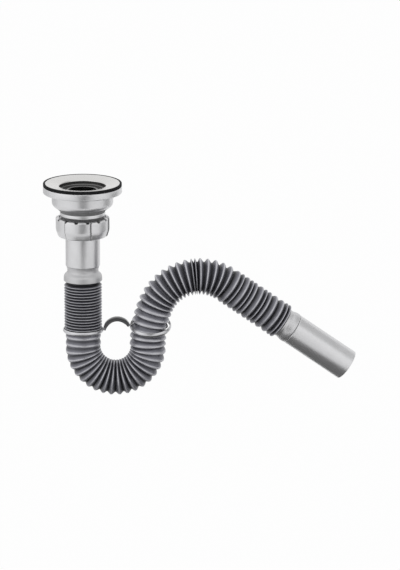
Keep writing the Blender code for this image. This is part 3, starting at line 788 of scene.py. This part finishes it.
class SINKTRAP_OT_seal_washer(bpy.types.Operator):
    """Mould the seal ring that the nut presses on the tube"""

    bl_idname = "sinktrap.seal_washer"
    bl_label = "Seal Washer"

    def execute(self, context):
        bore = tube_high.x + RUNNING_GAP
        corners = [
            (bore, seal_high.z, 0.6 * MM),
            (seal_high.x, seal_high.z, SOFT),
            (seal_high.x, seal_low.z, EASED),
            (bore, seal_low.z, EASED),
        ]
        seal = turn("seal_moulded", rounded(corners))
        mark_bench(seal)
        finish_piece(seal, "moulded_rubber")
        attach(seal, "seal")
        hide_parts("seal_washer")
        return {"FINISHED"}


class SINKTRAP_OT_coupling_nut(bpy.types.Operator):
    """Mould the nut: ratchet panels, notched shoulder, tapered foot and inner lip"""

    bl_idname = "sinktrap.coupling_nut"
    bl_label = "Coupling Nut"

    def execute(self, context):
        sizes = context.scene.sinktrap_slip_joint
        waste = context.scene.sinktrap_waste
        thread = waste.neck_radius + 1.5 * RUNNING_GAP
        lip = tube_high.x + 1.5 * RUNNING_GAP
        lip_top = nut_low.z + sizes.nut_lip
        mouth_floor = nut_high.z - sizes.nut_mouth_depth
        foot = sizes.nut_radius - sizes.nut_taper
        corners = [
            (sizes.nut_mouth, nut_high.z, EASED),
            (sizes.nut_radius, nut_high.z, sizes.nut_shoulder),
            (sizes.nut_radius, nut_low.z + sizes.nut_taper_height, 2.2 * MM),
            (foot, nut_low.z, 1.0 * MM),
            (lip, nut_low.z, SOFT),
            (lip, lip_top, EASED),
            (thread, lip_top, EASED),
            (thread, mouth_floor, 0.0),
            (sizes.nut_mouth, mouth_floor + sizes.nut_mouth - thread, EASED),
        ]
        nut = turn("nut_moulded", rounded(corners), NUT_SIDES)
        self.ratchet(nut, sizes)
        self.notch(nut, sizes)
        mark_bench(nut)
        self.paint_step_shade(nut, sizes)
        finish_piece(nut, "satin_plating", 30.0)
        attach(nut, "nut")
        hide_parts("coupling_nut")
        return {"FINISHED"}

    @staticmethod
    def ratchet(nut, sizes):
        """Let each panel fall from its proud edge, then step back up to the next."""
        pitch = 2 * math.pi / sizes.nut_panels
        fall = pitch - sizes.nut_step_width
        for vertex in nut.data.vertices:
            radius = from_axis(vertex.co)
            outer = (radius - sizes.nut_mouth) / (sizes.nut_radius - sizes.nut_taper - sizes.nut_mouth)
            if outer <= 0:
                continue
            along = (around_axis(vertex.co) - sizes.nut_first_step) % pitch
            share = along / fall if along < fall else (pitch - along) / sizes.nut_step_width
            share = share * share * (3 - 2 * share) if along >= fall else share
            move_out(vertex, radius - sizes.nut_step * share * min(1.0, outer))

    @staticmethod
    def paint_step_shade(nut, sizes):
        """Darken the ramps between the panels with painted shade, a dark line at each step."""
        pitch = 2 * math.pi / sizes.nut_panels

        def painted_shade_at(place):
            along = (around_axis(place) - sizes.nut_first_step) % pitch
            on_ramp = from_axis(place) > sizes.nut_mouth and along > pitch - sizes.nut_step_width
            return STEP_PAINTED_SHADE if on_ramp else 0.0

        mark(nut, "bare", painted_shade_at)

    @staticmethod
    def notch(nut, sizes):
        """Bite half-round notches out of the top rim with a star of rods."""
        inner = sizes.nut_mouth - 2 * sizes.notch_radius
        outer = sizes.nut_radius + sizes.notch_radius
        rods = []
        bpy.ops.object.select_all(action="DESELECT")
        for i in range(sizes.notches):
            heading = 2 * math.pi * (i + 0.5) / sizes.notches - math.pi / 2
            middle = Vector((math.cos(heading), math.sin(heading), 0.0)) * ((inner + outer) / 2)
            middle.z = nut_high.z
            bpy.ops.mesh.primitive_cylinder_add(vertices=24, radius=sizes.notch_radius, depth=outer - inner,
                                                location=middle, rotation=(0, math.pi / 2, heading))
            rods.append(bpy.context.object)
        for rod in rods:
            rod.select_set(True)
        bpy.ops.object.join()
        cut_with(nut, bpy.context.object)


class SINKTRAP_OT_inlet_tube(bpy.types.Operator):
    """Draw the straight slip tube"""

    bl_idname = "sinktrap.inlet_tube"
    bl_label = "Inlet Tube"

    def execute(self, context):
        bore = tube_high.x - context.scene.sinktrap_slip_joint.tube_wall
        corners = [
            (bore, tube_high.z, DULLED),
            (tube_high.x, tube_high.z, SOFT),
            (tube_high.x, tube_low.z, SOFT),
            (bore, tube_low.z, CRISP),
        ]
        tube = turn("inlet_tube_drawn", rounded(corners))
        mark_bench(tube)
        finish_piece(tube, "satin_plating")
        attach(tube, "inlet")
        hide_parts("inlet_tube")
        return {"FINISHED"}


class SINKTRAP_OT_inlet_cuff(bpy.types.Operator):
    """Mould the inlet cuff: insert, waist, bell shoulder and grip"""

    bl_idname = "sinktrap.inlet_cuff"
    bl_label = "Inlet Cuff"

    def execute(self, context):
        sizes = context.scene.sinktrap_slip_joint
        insert = tube_high.x - sizes.tube_wall - RUNNING_GAP
        bore = insert - sizes.cuff_wall
        top = tube_low.z - RUNNING_GAP
        waist = top - sizes.neck_height
        bell = cuff_high.x
        swell = bell - sizes.neck_radius
        grip_bore = bell - sizes.cuff_wall
        grip_top = cuff_low.z + sizes.grip
        corners = [
            (bore, cuff_high.z, EASED),
            (insert, cuff_high.z, EASED),
            (insert, top, 0.1 * MM),
            (tube_high.x - 0.5 * MM, top, EASED),
            (sizes.neck_radius, top - 0.45 * sizes.neck_height, 1.8 * MM),
            (sizes.neck_radius, waist + 0.05 * sizes.neck_height, 1.2 * MM),
            (sizes.neck_radius + 0.9 * swell, waist - 0.45 * sizes.swell_height, 1.6 * MM),
            (bell, waist - sizes.swell_height, 1.5 * MM),
            (bell, cuff_low.z, 0.7 * MM),
            (grip_bore, cuff_low.z, CRISP),
            (grip_bore, grip_top, CRISP),
            (bore, grip_top + 0.5 * sizes.swell_height, 0.6 * MM),
        ]
        cuff = turn("inlet_cuff_moulded", rounded(corners))
        mark_bench(cuff)
        mark(cuff, "bare", lambda place: CUFF_DARKER_TONE)
        finish_piece(cuff, "satin_plating")
        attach(cuff, "inlet")
        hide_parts("inlet_cuff")
        return {"FINISHED"}


def hose_stretches(sizes):
    """The route's stretches: (length, turn up or down, swing about the vertical)."""
    lean = sizes.right_arm_lean
    over = math.pi / 2 - lean + sizes.tail_slope
    return [
        (sizes.riser_folds * sizes.closed_pitch + sizes.arm_folds * sizes.arm_pitch, 0.0, 0.0),
        (sizes.bend_radius * math.pi, math.pi, 0.0),
        (sizes.right_arm_radius * lean, -lean, 0.0),
        (sizes.hump_radius * over, -over, sizes.tail_swing),
        (sum(tail_pitches(sizes)), 0.0, 0.0),
    ]


def tail_pitches(sizes):
    """Length of each fold of the tail, from the hump to the outlet."""
    wide, half, pinched = sizes.wide_pitch, sizes.half_pitch, sizes.pinched_pitch
    return [wide, pinched] * 2 + [half, wide, pinched, half] + [wide] * 2 + [pinched] * 2


def hump_pitches(sizes, run):
    """Length of each fold over the hump: two are pinched together near its top."""
    even = sizes.hump_folds // 2 + 1
    shares = [1.0] * even + [PINCH, PINCH, 0.9] + [1.0] * (sizes.hump_folds - even - 2)
    return [run * share / sum(shares) for share in shares]


def heading_vector(heading, swing):
    """The direction at a heading above level and a swing about the vertical."""
    level = math.cos(heading)
    return Vector((level * math.cos(swing), level * math.sin(swing), math.sin(heading)))


def hose_route(sizes, step=0.5 * MM):
    """Points down the riser, round the water seal, up the arm, over the hump and along the tail."""
    place = Vector((0.0, 0.0, cuff_low.z - RUNNING_GAP))
    heading = -math.pi / 2
    swing = 0.0
    points = [place.copy()]
    for run, turned, swung in hose_stretches(sizes):
        steps = max(1, round(run / step))
        for i in range(steps):
            share = (i + 0.5) / steps
            place += heading_vector(heading + turned * share, swing + swung * share) * (run / steps)
            points.append(place.copy())
        heading += turned
        swing += swung
    return points, heading_vector(heading, swing)


def point_along(points, distance):
    """The point that lies a distance along a route."""
    for near, far in zip(points, points[1:]):
        run = (far - near).length
        if distance <= run:
            return near.lerp(far, distance / run)
        distance -= run
    return points[-1].copy()


# A fold: its length, the radii of its crest and groove, where in its length the crest lies, how narrow
# the crest is, and how pale the painted shade of its groove and the painted highlight of its crest are, from
# 0 to 1
Fold = namedtuple("Fold", "pitch crest groove skew sharpness tones")


def fold_list(sizes):
    """Every fold of the hose, from the inlet to the outlet."""
    bend, right_arm, hump = (stretch[0] for stretch in hose_stretches(sizes)[1:4])
    peak = sizes.open_peak
    # Each fold's tones set how light its groove's painted shade and its crest's painted highlight are: the
    # neck fold under the cuff is painted nearly black, and the grooves are painted darker round the bottom of
    # the bend, further over the hump and along the tail
    neck = Fold(sizes.closed_pitch, crest=sizes.closed_valley, groove=sizes.closed_valley - 0.3 * MM,
                skew=0.5, sharpness=1.0, tones=(0.0, 0.1))
    closed = Fold(sizes.closed_pitch, crest=sizes.closed_peak, groove=sizes.closed_valley,
                  skew=0.5, sharpness=1.1, tones=(0.0, 1.0))
    arm = Fold(sizes.arm_pitch, crest=sizes.arm_peak, groove=sizes.arm_valley,
               skew=0.6, sharpness=0.8, tones=(0.3, 1.0))
    folds = [neck] + [closed] * (sizes.riser_folds - 1) + [arm] * sizes.arm_folds
    for i in range(sizes.bend_folds):
        share = (i + 0.5) / sizes.bend_folds
        foot = math.sin(math.pi * share)
        pressed = (1 - share) ** 3
        folds.append(Fold(
            bend / sizes.bend_folds,
            crest=peak - 0.6 * MM * pressed,
            groove=sizes.bend_valley + 1.1 * MM * pressed - 0.4 * MM * foot,
            skew=0.64 - 0.32 * share,
            sharpness=0.5 + 0.35 * foot,
            tones=(max(0.0, 0.3 - 0.45 * foot + 0.25 * share), 1.0),
        ))
    rising = Fold(right_arm / sizes.right_arm_folds, crest=peak, groove=sizes.rise_valley,
                  skew=0.32, sharpness=0.75, tones=(0.52, 1.0))
    folds += [rising] * sizes.right_arm_folds
    for i, pitch in enumerate(hump_pitches(sizes, hump)):
        folds.append(Fold(pitch, crest=peak, groove=sizes.open_valley,
                          skew=0.4, sharpness=1.1, tones=(max(0.0, 0.4 - 0.08 * i), 1.0)))
    for pitch in tail_pitches(sizes):
        groove = sizes.pinched_valley if pitch <= sizes.pinched_pitch else sizes.tail_valley
        folds.append(Fold(pitch, crest=peak, groove=groove, skew=0.6, sharpness=0.75, tones=(0.0, 1.0)))
    return folds


def fold_points(skew, sharpness):
    """(share of the pitch, height, nearness to the crest) from groove to groove, its crest at the skew."""
    points = []
    for near in (0.0, 0.2, 0.4, 0.6, 0.8, 0.92):
        points.append((skew * near, (0.5 - 0.5 * math.cos(math.pi * near)) ** sharpness, near))
    for past in (0.0, 0.08, 0.2, 0.4, 0.6, 0.84):
        height = (0.5 + 0.5 * math.cos(math.pi * past)) ** sharpness
        points.append((skew + (1 - skew) * past, height, 1.0 - past))
    return points


def bellows_outline(folds, start, wall, sleeves, irregular):
    """Closed outline of a straight stretch of bellows, and the (distance, tone) pairs of its skin.

    Each of the two sleeves is a (radius, length), or None where the bellows goes on.
    """
    outer = []
    inner = []
    crests = []
    distance = start
    first_sleeve, last_sleeve = sleeves

    def add_sleeve(radius, ends):
        outer.extend((radius, end) for end in ends)
        inner.extend((radius - wall, end) for end in ends)
        crests.extend((end, 0.0) for end in ends)

    if first_sleeve:
        add_sleeve(first_sleeve[0], (distance - first_sleeve[1], distance))
    for index, (pitch, peak, valley, skew, sharpness, (low, high)) in enumerate(folds):
        crest = peak - irregular.uniform(0.0, 0.05) * (peak - valley)
        groove = valley + irregular.uniform(-0.06, 0.12) * (peak - valley)
        lean = skew + irregular.uniform(-0.04, 0.04)
        for share, height, near in fold_points(lean, sharpness):
            if index == 0 and first_sleeve and share == 0:
                continue
            outer.append((groove + (crest - groove) * height, distance + pitch * share))
            crests.append((distance + pitch * share, low + (high - low) * near))
        inner.append((valley - wall, distance + 0.02 * pitch))
        inner.append((peak - 1.3 * wall, distance + pitch * skew))
        distance += pitch
    if last_sleeve:
        add_sleeve(last_sleeve[0], (distance, distance + last_sleeve[1]))
    else:
        add_sleeve(folds[-1].groove, (distance,))
    return outer + inner[::-1], crests


def mark_crests(piece, crests):
    """Keep how near each point is to its fold's crest, scaled between its fold's tones, for the finish's
    painted highlight and painted shade.
    """
    distances, tones = zip(*sorted(crests))

    def tone_at(place):
        far = min(len(distances) - 1, max(1, bisect.bisect_left(distances, place.z)))
        start, end = distances[far - 1], distances[far]
        share = 0.0 if end == start else min(1.0, max(0.0, (place.z - start) / (end - start)))
        return tones[far - 1] + (tones[far] - tones[far - 1]) * share

    mark(piece, "crest", tone_at)


def wander(piece, reach):
    """Tip the folds a little, this way and that, as a hand-bent bellows does."""
    for vertex in piece.data.vertices:
        around = around_axis(vertex.co)
        z = vertex.co.z
        tip = math.sin(z / (7.3 * MM)) * math.cos(around - z / (31 * MM))
        tip += 0.6 * math.sin(z / (4.1 * MM) + 1.0) * math.sin(around + z / (17 * MM))
        vertex.co.z += reach * tip


def bend_along(piece, points):
    """Bend a straight piece along a route, with a guide curve that is then removed."""
    guide_curve = bpy.data.curves.new("hose_guide", "CURVE")
    guide_curve.dimensions = "3D"
    guide_curve.twist_mode = "MINIMUM"
    line = guide_curve.splines.new("POLY")
    line.points.add(len(points) - 1)
    for place, point in zip(points, line.points):
        point.co = (*place, 1.0)
    guide = bpy.data.objects.new("hose_guide", guide_curve)
    bpy.context.collection.objects.link(guide)
    bend = piece.modifiers.new("route", "CURVE")
    bend.object = guide
    bend.deform_axis = "POS_Z"
    apply_modifiers(piece)
    bpy.data.objects.remove(guide, do_unlink=True)
    bpy.data.curves.remove(guide_curve)


def squeeze_inside(piece, sizes, bend_start):
    """Flatten the folds that are squeezed together on the inside of the water seal bend."""
    centre = bend_start + Vector((sizes.bend_radius, 0.0, 0.0))
    settled = (sizes.open_peak + sizes.bend_valley) / 2
    for vertex in piece.data.vertices:
        spoke = vertex.co - centre
        spoke.y = 0.0
        if spoke.z > 0 or spoke.length > sizes.bend_radius:
            continue
        axis = centre + spoke.normalized() * sizes.bend_radius
        off = vertex.co - axis
        inside = (sizes.bend_radius - spoke.length) / off.length
        if off.length > sizes.bend_valley - sizes.wall / 2:
            vertex.co = axis + off * (1 + (settled / off.length - 1) * sizes.bend_squeeze * inside ** 2)


class SINKTRAP_OT_bellows_hose(bpy.types.Operator):
    """Blow the bellows: closed riser folds, and open folds bent round the seal and over the hump"""

    bl_idname = "sinktrap.bellows_hose"
    bl_label = "Bellows Hose"

    def execute(self, context):
        sizes = context.scene.sinktrap_hose
        slip = context.scene.sinktrap_slip_joint
        outlet = context.scene.sinktrap_outlet
        points, _ = hose_route(sizes)
        folds = fold_list(sizes)
        irregular = random.Random(5)
        in_riser = sizes.riser_folds - 1
        split = in_riser * sizes.closed_pitch
        grip = slip.grip - RUNNING_GAP
        inlet_sleeve = cuff_high.x - slip.cuff_wall - RUNNING_GAP
        lip = outlet.tail_radius - outlet.neck_inset + outlet.lip_stand
        outlet_sleeve = lip - slip.cuff_wall - RUNNING_GAP

        sleeves = ((inlet_sleeve, grip), None)
        outline, crests = bellows_outline(folds[:in_riser], 0.0, sizes.wall, sleeves, irregular)
        riser = self.blow("hose_riser", outline, crests, points)
        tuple(points[0])
        point_along(points, split - sizes.closed_pitch)
        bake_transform(riser)
        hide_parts("hose")

        sleeves = (None, (outlet_sleeve, slip.grip))
        outline, crests = bellows_outline(folds[in_riser:], split, sizes.wall, sleeves, irregular)
        bent = self.blow("hose_bends", outline, crests, points)
        stretches = hose_stretches(sizes)
        squeeze_inside(bent, sizes, point_along(points, stretches[0][0]))
        hump_start = sum(stretch[0] for stretch in stretches[:3])
        hump_end = hump_start + stretches[3][0]
        point_along(points, hump_start)
        point_along(points, hump_end)
        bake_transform(bent)
        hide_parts("hose")
        return {"FINISHED"}

    @staticmethod
    def blow(name, outline, crests, points):
        """Turn a straight bellows, keep its marks, and bend it along the route."""
        piece = turn(name, outline, HOSE_SIDES)
        mark_bench(piece)
        mark_crests(piece, crests)
        wander(piece, UNEVENNESS)
        bend_along(piece, points)
        finish_piece(piece, "bellows_skin", 70.0)
        return piece


class SINKTRAP_OT_pipe_clip(bpy.types.Operator):
    """Mould the clip: a snug ring, a loose ring and the arched strap between them"""

    bl_idname = "sinktrap.pipe_clip"
    bl_label = "Pipe Clip"

    def execute(self, context):
        sizes = context.scene.sinktrap_clip
        hose = context.scene.sinktrap_hose
        stretches = hose_stretches(hose)
        points, _ = hose_route(hose)
        down, bend = stretches[0][0], stretches[1][0]
        snug_bore = hose.closed_peak + RUNNING_GAP
        loose_bore = hose.open_peak + sizes.loose_play
        snug_centre = point_along(points, down - sizes.above_bend)
        loose_centre = point_along(points, down + bend + sizes.loose_above_bend)
        loose_centre += Vector((sizes.loose_offset, 0.0, 0.0))
        clip = turn("clip_moulded", self.band(snug_bore, sizes.band_height, sizes.band_wall))
        put_in_place(clip, Matrix.Translation(snug_centre))
        loose = turn("clip_loose_ring", self.band(loose_bore, sizes.loose_height, sizes.band_wall))
        put_in_place(loose, Matrix.Translation(loose_centre) @ Matrix.Rotation(sizes.loose_tilt, 4, "X"))
        root = sizes.strap_thickness / 2
        left = snug_centre + Vector((snug_bore + root, 0.0, 0.0))
        right = loose_centre - Vector((loose_bore + root, 0.0, 0.0))
        strap = self.strap(left, right, sizes)
        cut_with(clip, loose, "UNION")
        cut_with(clip, strap, "UNION")
        self.paint_clip_shade(clip, [(snug_centre, snug_bore), (loose_centre, loose_bore)], sizes)
        mark_bench(clip)
        finish_piece(clip, "clip_moulding", 40.0)
        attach(clip, "trap")
        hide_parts("pipe_clip")
        return {"FINISHED"}

    @staticmethod
    def band(bore, height, wall):
        """Section of a ring: flat inside and strongly crowned outside."""
        half = height / 2
        outer = bore + wall
        return rounded([
            (bore, half, CRISP),
            (outer - 0.7 * wall, half, DULLED),
            (outer, 0.25 * half, 0.9 * MM),
            (outer, -0.25 * half, 0.9 * MM),
            (outer - 0.7 * wall, -half, DULLED),
            (bore, -half, CRISP),
        ])

    @staticmethod
    def strap(left, right, sizes):
        """Arched bar: its section is drawn at the left root and spun to the right one."""
        chord = right - left
        across = chord.normalized()
        upward = Vector((-across.z, 0.0, across.x))
        rise = sizes.strap_rise
        radius = (chord.length_squared / 4 + rise * rise) / (2 * rise)
        centre = (left + right) / 2 + upward * (rise - radius)
        half_angle = math.asin(chord.length / 2 / radius)
        if rise > radius:
            half_angle = math.pi - half_angle
        outward = (left - centre).normalized()
        level = Vector((0.0, 1.0, 0.0))
        section = Matrix((outward, level, outward.cross(level))).transposed()
        bpy.ops.object.select_all(action="DESELECT")
        bpy.ops.mesh.primitive_plane_add(size=1.0)
        strap = bpy.context.object
        strap.name = "clip_strap"
        size = Matrix.Diagonal((sizes.strap_thickness, sizes.strap_width, 1.0, 1.0))
        put_in_place(strap, Matrix.Translation(left) @ section.to_4x4() @ size)
        bpy.ops.object.mode_set(mode="EDIT")
        bpy.ops.mesh.select_all(action="SELECT")
        bpy.ops.mesh.bevel(offset=0.8 * MM, segments=4, affect="VERTICES")
        spin_section(48, -2 * half_angle, centre, level)
        for vertex in strap.data.vertices:
            spoke = vertex.co - centre
            spoke.y = 0.0
            root = max(0.0, spoke.angle(upward) / half_angle - TAPER_START) / (1 - TAPER_START)
            vertex.co -= spoke.normalized() * (spoke.length - radius) * root * sizes.strap_taper
        return strap

    @staticmethod
    def paint_clip_shade(clip, rings, sizes):
        """Keep where painted shade darkens the clip: the strap between the two rings, and the rings' insides.
        """
        def clip_painted_shade(place):
            reach = [from_axis(place - centre) - bore for centre, bore in rings]
            if min(abs(gap) for gap in reach) < 0.25 * sizes.band_wall:
                return 1.0
            return min(1.0, max(0.0, (min(reach) - sizes.band_wall) / sizes.band_wall))

        mark(clip, "strap", clip_painted_shade)


class SINKTRAP_OT_outlet(bpy.types.Operator):
    """Mould the outlet cuff and draw the tail tube, along the hose's end"""

    bl_idname = "sinktrap.outlet"
    bl_label = "Outlet Cuff and Tail Tube"

    def execute(self, context):
        sizes = context.scene.sinktrap_outlet
        slip = context.scene.sinktrap_slip_joint
        points, along = hose_route(context.scene.sinktrap_hose)
        placing = Matrix.Translation(points[-1]) @ along.to_track_quat("Z", "Y").to_matrix().to_4x4()
        insert = sizes.tail_radius - sizes.tail_wall - RUNNING_GAP
        bore = insert - slip.cuff_wall
        neck = sizes.tail_radius - sizes.neck_inset
        lip = neck + sizes.lip_stand
        grip_bore = lip - slip.cuff_wall
        shoulder = sizes.tail_radius + sizes.shoulder_stand
        start = RUNNING_GAP
        end = sizes.cuff_length
        cuff = turn("outlet_cuff_moulded", rounded([
            (grip_bore, start, CRISP),
            (lip, start, SOFT),
            (lip, start + 0.12 * end, SOFT),
            (neck, start + 0.2 * end, 0.8 * MM),
            (neck, start + 0.3 * end, 1.4 * MM),
            (shoulder, start + 0.62 * end, 1.6 * MM),
            (shoulder, end, 1.2 * MM),
            (insert, end, 0.1 * MM),
            (insert, end + slip.cuff_insert, EASED),
            (bore, end + slip.cuff_insert, EASED),
            (bore, start + slip.grip + 2 * RUNNING_GAP, CRISP),
            (grip_bore, start + slip.grip + RUNNING_GAP, CRISP),
        ]))
        tube_start = end + RUNNING_GAP
        tube_end = tube_start + sizes.tail_length
        tail_bore = sizes.tail_radius - sizes.tail_wall
        tail = turn("tail_tube_drawn", rounded([
            (tail_bore, tube_start, CRISP),
            (sizes.tail_radius, tube_start, 1.1 * MM),
            (sizes.tail_radius, tube_end, SOFT),
            (tail_bore, tube_end, DULLED),
        ]))
        mark(cuff, "bare", lambda place: 0.5 * CUFF_DARKER_TONE)
        for piece, node in ((cuff, "outlet_cuff"), (tail, "tail_tube")):
            mark_bench(piece)
            put_in_place(piece, placing)
            finish_piece(piece, "satin_plating")
            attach(piece, "outlet")
            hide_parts(node)
        return {"FINISHED"}


# Each softbox: place in metres, width, height
SOFTBOXES = {
    "left_box": ((-1.5, -1.0, 0.35), 1.5, 1.9),
    "right_box": ((1.5, -1.15, 0.4), 1.1, 1.6),
    "top_box": ((0.1, -0.2, 1.9), 1.6, 1.4),
}

# Each grey card: place and the point that it faces, in metres, width, height, grey level, roll in degrees
CARDS = {
    "front_card": ((0.06, -0.55, -0.14), (0.06, 0.0, -0.14), 0.34, 0.22, 0.05, -25.0),
    "right_card": ((1.0, 0.28, -0.36), (0.0, 0.0, -0.36), 0.66, 0.36, 0.3, 0.0),
    "left_back_card": ((-0.72, 0.69, -0.30), (0.0, 0.0, -0.30), 0.9, 0.6, 0.75, 0.0),
    "under_card": ((0.13, -0.06, -0.34), (0.13, -0.06, 1.0), 0.56, 0.42, 0.16, 0.0),
    "upper_right_card": ((0.88, 0.10, 0.52), (0.23, 0.0, -0.15), 1.1, 0.6, 0.62, 0.0),
}

FLOOR_SIZE = 40.0
# How white the floor looks, where the rest of it shows the object's shadow
FLOOR_GLOW = 0.97
SENSOR_HEIGHT = 36.0


def softbox(name, place, aim, width, height, brightness):
    """An area lamp of a given surface brightness, turned towards a point."""
    bpy.ops.object.light_add(type="AREA", location=place)
    lamp = bpy.context.object
    lamp.name = name
    lamp.data.shape = "RECTANGLE"
    lamp.data.size = width
    lamp.data.size_y = height
    lamp.data.energy = brightness * math.pi * width * height
    lamp.rotation_euler = (aim - Vector(place)).to_track_quat("-Z", "Y").to_euler()
    lamp.visible_camera = False


def card(name, place, aim, width, height, level, roll):
    """A grey card that only reflections see, as beside a product on its table."""
    bpy.ops.mesh.primitive_plane_add(size=1.0, location=place)
    board = bpy.context.object
    board.name = name
    board.scale = (width, height, 1.0)
    facing = (Vector(aim) - Vector(place)).to_track_quat("Z", "Y").to_matrix()
    board.rotation_euler = (facing @ Matrix.Rotation(math.radians(roll), 3, "Z")).to_euler()
    surface = Surface(name)
    surface.show(surface.glow(level))
    board.data.materials.append(surface.material)
    for rays in ("camera", "diffuse", "shadow", "transmission"):
        setattr(board, "visible_" + rays, False)


def studio_floor(rgb):
    """Paper floor: white to the eye, and it keeps the object's soft shadow."""
    surface = Surface("studio_floor")
    surface.set(base_color=shade_of(rgb), roughness=0.9)
    lit = Wire(surface, surface.shader.outputs[0])
    sockets = {0: FLOOR_GLOW * surface.seen_directly(), 1: lit, 2: surface.glow(1.0)}
    surface.show(surface.add("ShaderNodeMixShader", None, sockets))
    return surface.material


def studio_world(ambient):
    """Even white surroundings, dimmer as a light source than they look."""
    world = bpy.context.scene.world or bpy.data.worlds.new("studio")
    bpy.context.scene.world = world
    world.use_nodes = True
    nodes = Nodes(world.node_tree)
    nodes.tree.nodes.clear()
    soft = nodes.add("ShaderNodeBackground", None, {"Color": WHITE, "Strength": ambient})
    white = nodes.add("ShaderNodeBackground", None, {"Color": WHITE, "Strength": 1.0})
    shown = nodes.add("ShaderNodeMixShader", None, {0: nodes.seen_directly(), 1: soft, 2: white})
    nodes.add("ShaderNodeOutputWorld", None, {"Surface": shown})


class SINKTRAP_OT_studio(bpy.types.Operator):
    """Set up the camera, softboxes, grey cards, floor and white surroundings"""

    bl_idname = "sinktrap.studio"
    bl_label = "Studio"

    def execute(self, context):
        studio = context.scene.sinktrap_studio
        aim = Vector((studio.aim_x, 0.0, studio.aim_z))
        back = Vector((0.0, -math.cos(studio.elevation), math.sin(studio.elevation)))
        bpy.ops.object.camera_add(location=aim + back * studio.distance,
                                  rotation=(math.pi / 2 - studio.elevation, 0.0, 0.0))
        camera = bpy.context.object
        camera.name = "studio_camera"
        camera.data.sensor_fit = "VERTICAL"
        camera.data.sensor_height = SENSOR_HEIGHT
        camera.data.lens = SENSOR_HEIGHT * studio.distance / (studio.rows * studio.pixel)
        camera.data.clip_end = 50.0
        context.scene.camera = camera
        context.scene.view_settings.view_transform = "Standard"

        for name, (place, width, height) in SOFTBOXES.items():
            softbox(name.replace("box", "softbox"), place, aim, width, height, getattr(studio, name))
        for name, row in CARDS.items():
            card(name, *row)

        bpy.ops.mesh.primitive_plane_add(size=FLOOR_SIZE, location=(0.0, 0.0, -studio.floor_drop))
        floor = bpy.context.object
        floor.name = "studio_floor"
        floor.data.materials.append(studio_floor(context.scene.sinktrap_finishes.floor))
        studio_world(studio.ambient)
        return {"FINISHED"}


PIECES = (
    SINKTRAP_OT_studio,
    SINKTRAP_OT_waste_dish,
    SINKTRAP_OT_basin_gasket,
    SINKTRAP_OT_waste_body,
    SINKTRAP_OT_seal_washer,
    SINKTRAP_OT_coupling_nut,
    SINKTRAP_OT_inlet_tube,
    SINKTRAP_OT_inlet_cuff,
    SINKTRAP_OT_bellows_hose,
    SINKTRAP_OT_pipe_clip,
    SINKTRAP_OT_outlet,
)

SETTINGS = {
    "sinktrap_waste": WasteSizes,
    "sinktrap_slip_joint": SlipJointSizes,
    "sinktrap_hose": HoseSizes,
    "sinktrap_outlet": OutletSizes,
    "sinktrap_clip": ClipSizes,
    "sinktrap_finishes": Finishes,
    "sinktrap_studio": Studio,
}


class SINKTRAP_PT_pieces(bpy.types.Panel):
    """The trap's pieces, sizes and finishes"""

    bl_label = "Sink Trap"
    bl_idname = "SINKTRAP_PT_pieces"
    bl_space_type = "VIEW_3D"
    bl_region_type = "UI"
    bl_category = "Sink Trap"

    def draw(self, context):
        layout = self.layout
        for piece in PIECES:
            layout.operator(piece.bl_idname)
        for name, group in SETTINGS.items():
            box = layout.box()
            box.label(text=group.__doc__.strip())
            for key in group.__annotations__:
                box.prop(getattr(context.scene, name), key)


def register():
    for group in SETTINGS.values():
        bpy.utils.register_class(group)
    for name, group in SETTINGS.items():
        setattr(bpy.types.Scene, name, bpy.props.PointerProperty(type=group))
    for piece in PIECES:
        bpy.utils.register_class(piece)
    bpy.utils.register_class(SINKTRAP_PT_pieces)


def unregister():
    bpy.utils.unregister_class(SINKTRAP_PT_pieces)
    for piece in reversed(PIECES):
        bpy.utils.unregister_class(piece)
    for name, group in reversed(list(SETTINGS.items())):
        delattr(bpy.types.Scene, name)
        bpy.utils.unregister_class(group)


def main():
    register()
    for piece in PIECES:
        getattr(bpy.ops.sinktrap, piece.bl_idname.partition(".")[2])()


if __name__ == "__main__":
    main()
